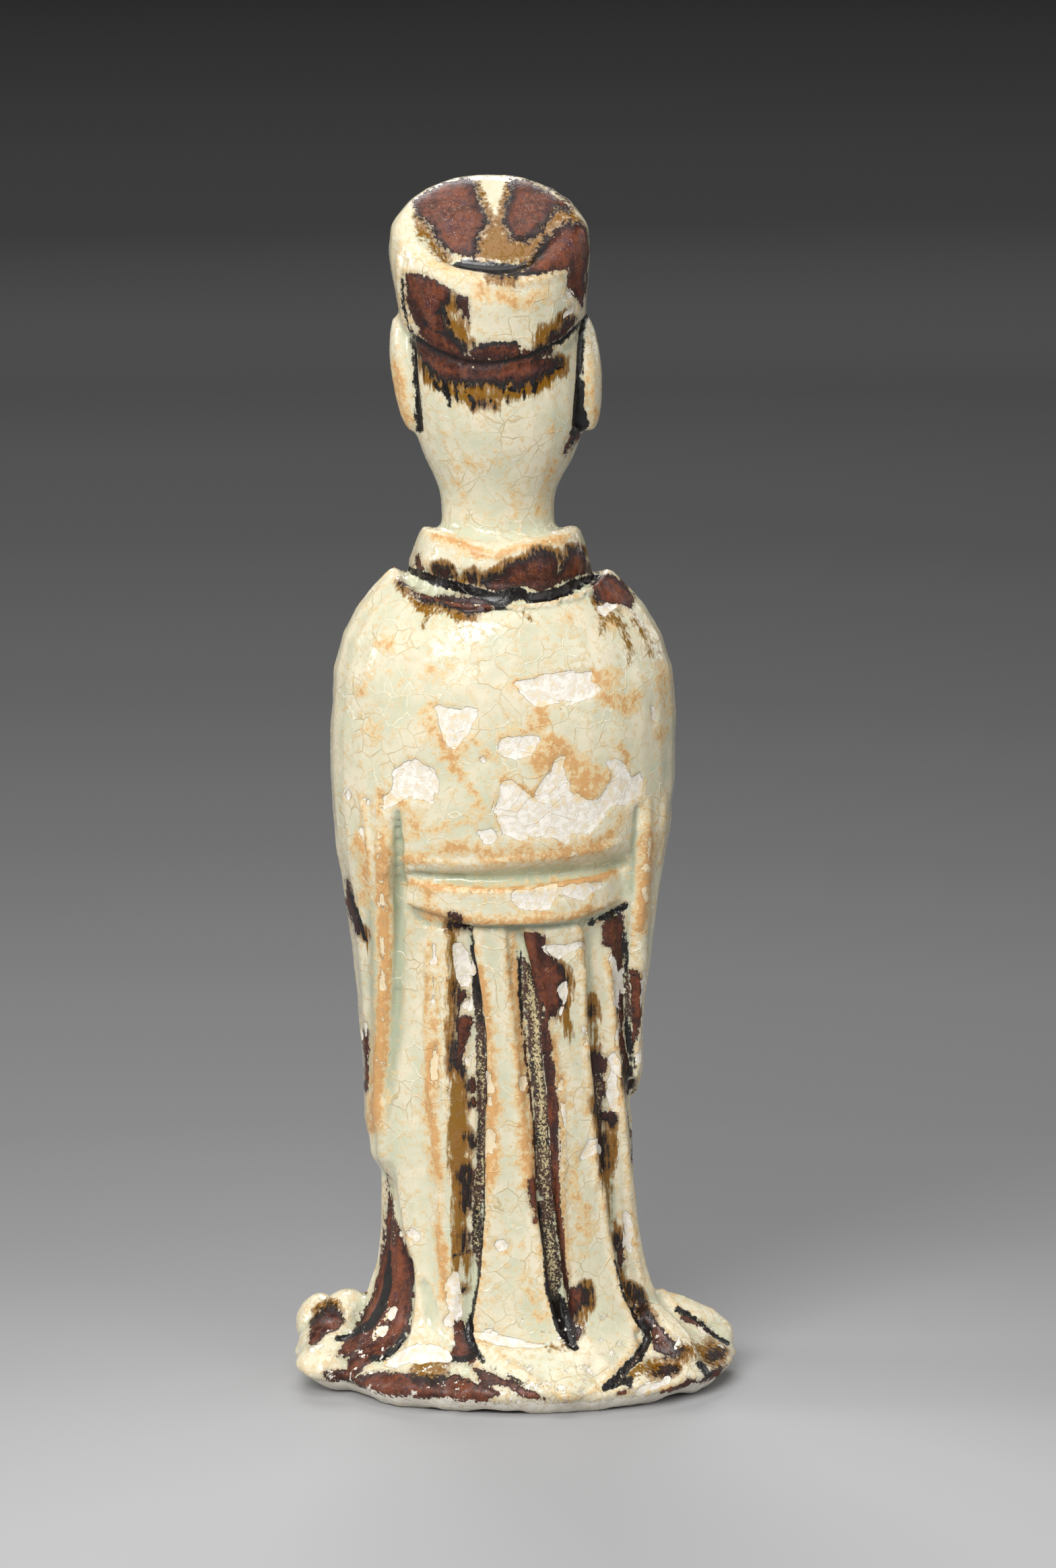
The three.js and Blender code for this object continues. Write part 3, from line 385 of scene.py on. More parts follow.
# Places where the glaze has flaked off the body
BARE = {
    "cap": {
        "cap chip 1": [(1110, 900), (1150, 860), (1185, 850), (1190, 900), (1140, 910), (1110, 930)],
        "cap chip 2": [(1130, 770, 10), (1145, 810, 10)],
    },
    "neck": {
        "shoulder chip": [(1330, 1100), (1390, 1095), (1440, 1095), (1400, 1130), (1370, 1150),
            (1330, 1130)],
    },
    "jacket": {
        "jacket high": [(795, 405), (850, 398), (880, 385), (905, 360), (960, 362), (1010, 352),
            (1060, 345), (1150, 352), (1140, 375), (1140, 400), (1165, 430), (1130, 455), (1040, 488),
            (1000, 480), (950, 497), (890, 500), (870, 488), (800, 455)],
        "jacket left": [(420, 500), (470, 490), (550, 515), (630, 518), (628, 550), (600, 600), (585, 640),
            (560, 660), (545, 690), (520, 700), (490, 680), (470, 650), (450, 620), (440, 560)],
        "jacket mid": [(735, 655), (790, 648), (830, 635), (880, 632), (915, 640), (910, 660), (880, 690),
            (870, 715), (830, 735), (760, 725), (720, 705)],
        "jacket big": [(705, 920), (745, 845), (775, 835), (800, 850), (860, 905), (880, 930), (890, 860),
            (920, 820), (950, 790), (960, 755), (1000, 725), (1030, 725), (1020, 770), (1040, 820),
            (1060, 850), (1050, 880), (1120, 925), (1160, 920), (1200, 860), (1235, 830), (1225, 790),
            (1210, 755), (1240, 742), (1290, 760), (1320, 830), (1350, 810), (1372, 840), (1375, 870),
            (1360, 910), (1320, 930), (1290, 960), (1230, 950), (1200, 975), (1180, 1010), (1120, 1080),
            (1060, 1085), (1020, 1110), (960, 1100), (860, 1095), (830, 1110), (745, 1070), (720, 1000),
            (700, 960)],
        "jacket low left": [(290, 745), (340, 735), (370, 740), (400, 770), (430, 795), (450, 830),
            (440, 920), (420, 945), (380, 930), (300, 915), (270, 950), (240, 960), (210, 970), (195, 950),
            (205, 900), (240, 870), (250, 790)],
        "jacket chip": [(625, 740), (650, 715), (680, 745), (665, 770), (640, 765)],
        "jacket low": [(620, 1065), (690, 1060), (710, 1090), (690, 1120), (660, 1120)],
        "flank chip": [(40, 870), (60, 880), (65, 905), (45, 930), (35, 900)],
        "jacket far": [(1395, 500), (1420, 495), (1435, 550), (1420, 580), (1400, 540)],
        "sleeve flank": [(100, 905, 10), (135, 930, 14), (140, 1000, 10)],
        "sleeve flank low": [(110, 1055, 10), (125, 1130, 14), (135, 1240, 8)],
    },
    "robe": {
        "belt": [(785, 262), (900, 240), (1050, 215), (1190, 210), (1185, 240), (1130, 262), (1090, 290),
            (1040, 272), (990, 268), (960, 290), (940, 325), (870, 330), (815, 325), (785, 300)],
    },
    "pleats": {
        "second pleat 1": [(45, 90), (75, 85), (100, 130), (115, 200), (120, 260), (70, 280), (50, 240),
            (45, 160)],
        "second pleat 2": [(85, 335), (112, 325), (118, 370), (75, 395), (72, 360)],
        "second pleat 3": [(118, 540), (132, 550), (134, 620), (104, 630), (95, 600)],
        "second pleat 4": [(200, 660, 9), (206, 720, 10), (203, 790, 7)],
        "second pleat 5": [(212, 930, 20), (208, 1010, 14)],
        "third pleat left 1": [(330, 670), (365, 660), (370, 700), (350, 740), (335, 730)],
        "third pleat left 2": [(306, 140, 8), (300, 260, 6)],
        "third pleat top": [(440, 100), (520, 90), (600, 64), (628, 64), (626, 110), (560, 130), (510, 160),
            (480, 140)],
        "third pleat hole": [(515, 270), (545, 250), (555, 290), (540, 350), (518, 410), (512, 425),
            (508, 400), (530, 340), (513, 310)],
        "third pleat right 1": [(500, 680), (545, 670), (540, 700), (520, 740), (505, 760)],
        "third pleat right 2": [(512, 785), (540, 790), (555, 850), (550, 900), (522, 900)],
        "fourth pleat 1": [(730, 580), (780, 560), (778, 700), (770, 820), (735, 815), (722, 760),
            (722, 700), (730, 640)],
        "fourth pleat 2": [(735, 120), (762, 150), (782, 300), (786, 480), (770, 560), (752, 400),
            (752, 250)],
        "fourth pleat 3": [(640, 960), (688, 940), (698, 1010), (650, 1030), (600, 1050), (622, 1000)],
        "fourth pleat left": [(622, 460, 10), (632, 540, 10)],
        "fifth pleat": [(815, 750), (830, 750), (836, 850), (826, 870), (813, 830)],
        "fifth pleat line": [(786, 200, 7), (796, 300, 6)],
    },
    "hem": {
        "hem white": [(360, 710), (440, 650), (500, 620), (600, 640), (620, 690), (560, 700), (470, 720),
            (420, 735)],
        "panel low": [(700, 600), (760, 590), (1000, 640), (960, 655), (800, 650), (740, 640)],
        "panel chip": [(790, 260), (830, 255), (840, 275), (800, 290)],
        "tail white 1": [(405, 540, 8), (415, 510, 8)],
        "tail white 2": [(370, 600, 10), (390, 580, 8)],
        "foot crack": [(440, 230, 8), (470, 240, 8), (500, 250, 5)],
        "fold 1": [(600, 400), (640, 375), (660, 430), (655, 520), (640, 545), (602, 500)],
        "fold 2": [(640, 540, 10), (622, 600, 8)],
    },
    "foot": {
        "fourth pleat foot": [(705, 150), (725, 150), (745, 200), (740, 290), (722, 320), (712, 250)],
        "apron": [(215, 265), (255, 250), (290, 270), (275, 290), (235, 290)],
    },
    "sides": {
        "sleeve edge": [(265, 20, 14), (262, 250, 10), (268, 500, 10)],
        "robe left 1": [(492, 320, 20), (492, 390, 20)],
        "robe left 2": [(488, 460, 18), (488, 560, 16)],
        "robe left 3": [(505, 760, 10), (500, 900, 10)],
        "side bare": [(1440, 440, 10), (1440, 640, 8), (1420, 820, 10)],
        "flank low": [(185, 660, 10), (190, 720, 6)],
    },
    "rim": {
        "robe foot left": [(430, 270, 10), (460, 290, 8)],
        "robe foot white": [(580, 430, 22), (585, 520, 22), (560, 560, 14)],
        "robe foot right": [(1130, 230, 14), (1132, 330, 14)],
        "hem white right": [(1180, 775, 16), (1250, 745, 16)],
    },
}

# Rusty stains
STAIN = {
    "cap": {
        "cap": [(620, 780, 30), (760, 800, 26), (830, 850, 24), (1000, 790, 20)],
    },
    "neck": {
        "neck 1": [(465, 300, 8), (480, 390, 10), (520, 480, 10)],
        "neck 2": [(530, 265, 14), (570, 280, 12), (615, 285, 12)],
        "neck 3": [(805, 420, 7), (815, 500, 8), (830, 545, 7)],
        "neck 4": [(1050, 270, 7), (1000, 400, 8), (975, 500, 14), (970, 570, 12)],
        "neck 5": [(1035, 75, 12)],
        "neck 6": [(385, 115, 10)],
        "collar 1": [(330, 700, 12), (450, 730, 16), (560, 780, 22), (600, 830, 18)],
        "collar 2": [(730, 820, 14), (850, 770, 14), (980, 740, 12), (1100, 720, 12)],
        "jacket 1": [(340, 1215, 12)],
        "jacket 2": [(1160, 1150, 8), (1150, 1220, 12)],
        "jacket 3": [(1390, 1200, 24), (1440, 1240, 16)],
    },
    "jacket": {
        "jacket 1": [(880, 510), (940, 505), (965, 560), (960, 620), (1010, 660), (1080, 700), (1130, 760),
            (1220, 780), (1240, 820), (1180, 890), (1140, 925), (1080, 910), (1050, 870), (1010, 790),
            (960, 770), (900, 840), (870, 790), (860, 740), (900, 690), (930, 650), (920, 620), (850, 620),
            (760, 650), (740, 640), (800, 600), (870, 570)],
        "jacket 2": [(430, 600), (470, 610), (490, 690), (540, 700), (590, 650), (610, 670), (560, 730),
            (520, 765), (480, 740), (440, 680)],
        "jacket 3": [(400, 520, 14), (410, 570, 24), (435, 620, 16)],
        "jacket 4": [(1150, 350), (1250, 345), (1265, 400), (1230, 430), (1180, 425), (1150, 400)],
        "jacket 5": [(1190, 460, 30), (1300, 500, 40), (1340, 450, 24)],
        "jacket 6": [(300, 1190, 10), (420, 1150, 24), (560, 1130, 34), (700, 1165, 24), (850, 1140, 28),
            (1000, 1150, 20), (1200, 1100, 20), (1270, 1000, 16)],
        "jacket 7": [(205, 230, 34)],
        "jacket 8": [(420, 350, 22), (440, 375, 14)],
        "jacket 9": [(508, 335, 14)],
        "jacket 10": [(145, 360, 16)],
        "jacket 11": [(108, 435, 20)],
        "jacket left": [(155, 610, 16), (160, 645, 12)],
        "jacket 12": [(770, 410, 16), (810, 395, 8)],
        "jacket 13": [(640, 660, 14), (660, 720, 16), (700, 745, 10)],
        "jacket 14": [(1250, 690, 16), (1300, 740, 20)],
        "jacket 15": [(740, 810, 12), (800, 850, 10), (870, 900, 10)],
        "jacket 16": [(1450, 610, 20), (1440, 650, 10)],
        "jacket right": [(1455, 330, 12), (1450, 450, 12), (1480, 540, 8)],
        "jacket 17": [(200, 900, 12), (250, 930, 12), (300, 950, 14), (350, 1050, 14)],
        "jacket 18": [(520, 780, 20), (600, 860, 14), (640, 980, 16)],
        "jacket 19": [(330, 1080, 14), (480, 1040, 12), (620, 1010, 10)],
    },
    "robe": {
        "belt 1": [(340, 215, 10), (500, 225, 10), (800, 215, 6), (1150, 190, 10), (1240, 160, 16)],
        "belt 2": [(410, 270, 24), (410, 350, 24), (560, 375, 14), (800, 375, 12), (1000, 350, 14),
            (1150, 330, 14)],
        "sleeve 1": [(205, 0, 20), (200, 150, 24), (215, 560, 22), (205, 850, 24), (185, 1100, 34),
            (170, 1300, 34)],
        "sleeve 2": [(1385, 0, 24), (1370, 200, 24), (1345, 420, 20)],
        "sleeve 3": [(100, 20, 24), (125, 150, 22), (120, 300, 20)],
        "second panel": [(640, 600, 14), (680, 850, 14), (700, 1100, 16), (690, 1340, 20), (690, 1550, 20)],
        "third panel": [(785, 500, 10), (790, 700, 16), (815, 900, 20), (830, 1100, 22), (840, 1550, 24)],
        "first panel": [(420, 800, 16), (430, 1000, 18), (410, 1250, 30), (450, 1500, 22)],
        "fourth panel 1": [(960, 900, 8), (1000, 1050, 10), (1040, 1200, 8)],
        "fourth panel 2": [(1066, 1390, 6), (1050, 1550, 9)],
        "fourth panel 3": [(1100, 1180, 6), (1130, 1300, 8)],
    },
    "hem": {
        "panel low 1": [(880, 330, 8), (900, 400, 9), (960, 540, 10)],
        "panel low 2": [(1120, 120, 8), (1140, 210, 12), (1110, 300, 8)],
        "fourth panel": [(1090, 60, 10), (1110, 200, 8), (1060, 260, 6)],
    },
    "band": {
        "ear left": [(185, 1200, 30), (200, 1400, 40), (250, 1530, 24)],
        "ear right": [(1250, 1200, 24), (1230, 1400, 24), (1310, 1500, 20)],
    },
    "rim": {
        "foot": [(530, 260, 16), (555, 480, 16)],
    },
}

# Clear glaze that lies thick and green
POOL = {
    "belt": {
        "sleeve left": [(355, 130, 20), (358, 300, 22), (360, 560, 22), (345, 900, 22)],
        "sleeve right": [(1305, 130, 16), (1298, 280, 18), (1285, 440, 14)],
        "belt channel": [(440, 360, 20), (640, 385, 22), (900, 370, 24), (1060, 345, 22)],
        "under belt": [(400, 540, 14), (560, 590, 12), (800, 600, 12), (1050, 575, 12)],
    },
    "sides": {
        "sleeve left low": [(345, 300, 20), (325, 700, 30), (300, 950, 26), (285, 1080, 16)],
        "sleeve left flank": [(215, 60, 18), (225, 400, 24), (240, 800, 20)],
    },
}

# Grooves of the cap, robe and belt
GROOVE = {
    "cap": {
        "seam": [(205, 1030, 10), (330, 1120, 12), (520, 1200, 12), (700, 1205, 12), (900, 1160, 12),
            (1100, 1065, 12), (1240, 940, 12)],
        "crown crease 1": [(400, 575, 10), (480, 605, 22), (600, 620, 28), (700, 628, 26), (820, 622, 20),
            (920, 590, 10)],
        "ear left": [(215, 1100, 12), (225, 1300, 14), (238, 1500, 18), (245, 1590, 20)],
        "ear right": [(1215, 1000, 12), (1205, 1200, 18), (1195, 1400, 24), (1190, 1560, 28)],
        "crown crease 2": [(460, 605, 12), (600, 612, 26), (700, 628, 30), (800, 630, 24), (900, 605, 12)],
    },
    "jacket": {
        "sleeve left": [(268, 975, 14), (272, 1100, 14), (275, 1380, 15)],
        "sleeve right": [(1345, 960, 14), (1335, 1080, 14), (1315, 1200, 14), (1312, 1370, 12)],
    },
    "robe": {
        "third pleat": [(810, 440, 12), (850, 640, 28), (880, 840, 38), (912, 1040, 46), (935, 1250, 50),
            (940, 1550, 48)],
        "second pleat": [(590, 430, 8), (600, 520, 12), (622, 640, 14), (642, 800, 16), (652, 1000, 16),
            (645, 1200, 18), (640, 1400, 20), (642, 1550, 20)],
        "fourth pleat": [(1122, 440, 8), (1140, 760, 16), (1155, 1000, 22), (1185, 1200, 24),
            (1205, 1400, 24), (1212, 1550, 22)],
        "right line": [(1295, 320, 14), (1290, 600, 14), (1300, 850, 14), (1315, 1080, 12),
            (1320, 1300, 10)],
        "belt channel": [(330, 175, 14), (450, 195, 20), (700, 208, 22), (950, 188, 22), (1130, 158, 22),
            (1280, 125, 16)],
        "under belt": [(300, 320, 10), (400, 392, 11), (520, 404, 11), (750, 414, 11), (950, 408, 11),
            (1100, 385, 13), (1200, 350, 13), (1290, 315, 12)],
        "sleeve left low": [(278, 20, 16), (282, 300, 18), (275, 560, 20), (258, 800, 20), (238, 1000, 18),
            (205, 1180, 12)],
    },
    "hem": {
        "third pleat foot": [(978, 0, 40), (985, 150, 34), (1000, 300, 28), (1020, 450, 28),
            (1050, 560, 22), (1075, 650, 12)],
        "second pleat foot": [(735, 0, 16), (730, 150, 14), (720, 300, 12), (700, 450, 12), (688, 560, 12),
            (700, 650, 10), (740, 700, 8)],
        "fourth pleat foot": [(1212, 0, 20), (1228, 150, 16), (1248, 300, 16), (1275, 430, 16),
            (1310, 530, 12), (1350, 590, 12), (1335, 660, 12), (1285, 730, 12), (1230, 790, 12)],
        "tail": [(395, 60, 14), (385, 200, 18), (365, 330, 20), (330, 440, 22), (280, 540, 22),
            (230, 605, 12)],
        "tail side": [(470, 330, 7), (480, 450, 7), (462, 600, 8), (400, 680, 7)],
        "hem crease": [(520, 420, 20), (560, 560, 30), (620, 640, 16)],
    },
}

# Crisp edges where the glaze has worn thin
RIDGE = {
    "cap": {
        "band lip": [(330, 600, 14), (450, 660, 24), (620, 700, 30), (800, 712, 30), (1000, 690, 26),
            (1120, 650, 18)],
        "band fold 1": [(130, 560, 6), (135, 760, 6), (165, 960, 6)],
        "band fold 2": [(165, 640, 5), (170, 780, 6), (200, 980, 6)],
    },
    "neck": {
        "collar top": [(340, 690, 10), (460, 735, 12), (600, 790, 14), (700, 825, 16), (850, 775, 14),
            (1000, 745, 12), (1150, 700, 10)],
    },
    "jacket": {
        "sleeve left": [(190, 960, 16), (195, 1100, 20), (198, 1370, 20)],
        "sleeve right": [(1390, 930, 14), (1385, 1100, 18), (1372, 1370, 18)],
        "sleeve outer left": [(105, 905, 8), (130, 1000, 8), (145, 1150, 8), (140, 1270, 8)],
        "sleeve outer right": [(1460, 910, 8), (1450, 1100, 8), (1432, 1210, 7)],
    },
    "robe": {
        "jacket edge": [(300, 105, 7), (400, 122, 9), (600, 130, 9), (800, 112, 9), (1000, 95, 9),
            (1180, 60, 9), (1260, 30, 7)],
        "belt top": [(330, 210, 9), (420, 240, 11), (600, 256, 11), (800, 250, 11), (1000, 225, 11),
            (1150, 195, 11), (1245, 155, 9)],
        "belt low": [(320, 335, 7), (420, 374, 8), (600, 388, 8), (800, 390, 8), (1000, 375, 8),
            (1150, 345, 8), (1265, 300, 7)],
        "second pleat lip": [(614, 500, 9), (642, 640, 8), (667, 850, 8), (685, 1050, 9), (674, 1250, 9),
            (674, 1550, 9)],
        "third pleat left": [(782, 440, 8), (795, 600, 8), (812, 800, 8), (835, 1000, 9), (858, 1200, 9),
            (870, 1400, 9), (874, 1550, 9)],
        "third pleat right": [(868, 470, 8), (905, 640, 8), (940, 850, 8), (978, 1000, 9), (1008, 1200, 9),
            (1012, 1550, 9)],
        "fourth pleat edge": [(1095, 430, 8), (1108, 760, 8), (1120, 1000, 8), (1135, 1150, 9),
            (1152, 1300, 9), (1162, 1550, 9)],
        "fifth pleat": [(1215, 560, 9), (1240, 800, 9), (1255, 1000, 9), (1265, 1150, 9), (1290, 1350, 9),
            (1302, 1550, 9)],
        "robe left 1": [(405, 480, 12), (402, 700, 12), (392, 900, 9), (410, 1100, 9), (438, 1300, 11),
            (458, 1550, 11)],
        "robe left 2": [(500, 440, 8), (490, 700, 9), (480, 1000, 9), (500, 1300, 9), (510, 1550, 9)],
        "robe left 3": [(455, 500, 7), (450, 760, 7), (445, 1000, 8), (440, 1300, 6)],
        "sleeve left low": [(200, 0, 20), (210, 300, 20), (215, 560, 20), (205, 850, 20), (182, 1100, 18),
            (162, 1300, 16)],
        "sleeve right low": [(1385, 0, 18), (1370, 200, 18), (1350, 400, 18)],
    },
    "hem": {
        "second pleat foot": [(762, 0, 8), (757, 200, 8), (742, 350, 7), (722, 470, 7), (712, 560, 7)],
        "third pleat left foot": [(918, 0, 8), (935, 150, 8), (952, 300, 8), (975, 430, 8), (1002, 530, 7)],
        "third pleat right foot": [(1036, 0, 8), (1042, 200, 8), (1062, 380, 8)],
        "fourth pleat foot": [(1185, 0, 9), (1203, 200, 8), (1222, 330, 8), (1262, 470, 8), (1308, 560, 8),
            (1330, 605, 8)],
        "fifth pleat foot": [(1280, 60, 9), (1302, 250, 9), (1332, 400, 8)],
        "robe left foot": [(585, 0, 9), (580, 200, 9), (592, 380, 8)],
        "point left": [(700, 600, 9), (850, 718, 9), (960, 790, 9), (1050, 850, 8)],
        "point right": [(1330, 620, 9), (1250, 722, 9), (1160, 810, 9), (1080, 850, 8)],
        "tail ridge": [(440, 240, 8), (430, 400, 10), (390, 520, 12), (330, 620, 10)],
        "hem fold": [(1390, 420, 8), (1470, 510, 9), (1560, 600, 10), (1650, 680, 8)],
    },
}

# Half the width of the thinnest stroke, in millimetres. Grit can be thinner, and then only its
# highest specks show.
THINNEST = 0.25
THINNEST_GRIT = -0.6


def placed(part, thinnest, x, y, *half):
    """Where the main camera sees a point of the back, on the plane through the figure's middle:
    x and height in millimetres, and half the width if it lies on a stroke."""
    left, top, enlarged = PARTS[part]
    across = (left + x / enlarged - PHOTO_WIDE / 2) * PIXEL
    up = (PHOTO_HIGH / 2 - top - y / enlarged) * PIXEL
    slant = math.cos(CAMERA_TILT) + math.sin(CAMERA_TILT) * up * MM / CAMERA_AWAY
    place = [CAMERA_TARGET.x / MM - across * math.cos(CAMERA_TILT) / slant, CAMERA_TARGET.z / MM + up / slant]
    widths = [max(thinnest, round(h / enlarged * PIXEL, 1)) for h in half]
    return [round(value, 1) for value in place] + widths


def from_behind(parts, thinnest=THINNEST):
    """All the back's marks of a kind, placed, by their part and name."""
    return {(part, name): [placed(part, thinnest, *point) for point in mark]
            for part, marks in parts.items() for name, mark in marks.items()}


BACK = {
    "iron": from_behind(IRON),
    "ink": from_behind(INK),
    "crust": from_behind(CRUST, THINNEST_GRIT),
    "amber": from_behind(AMBER),
    "bare": from_behind(BARE),
    "stain": from_behind(STAIN),
    "pool": from_behind(POOL),
    "groove": from_behind(GROOVE),
    "ridge": from_behind(RIDGE),
}

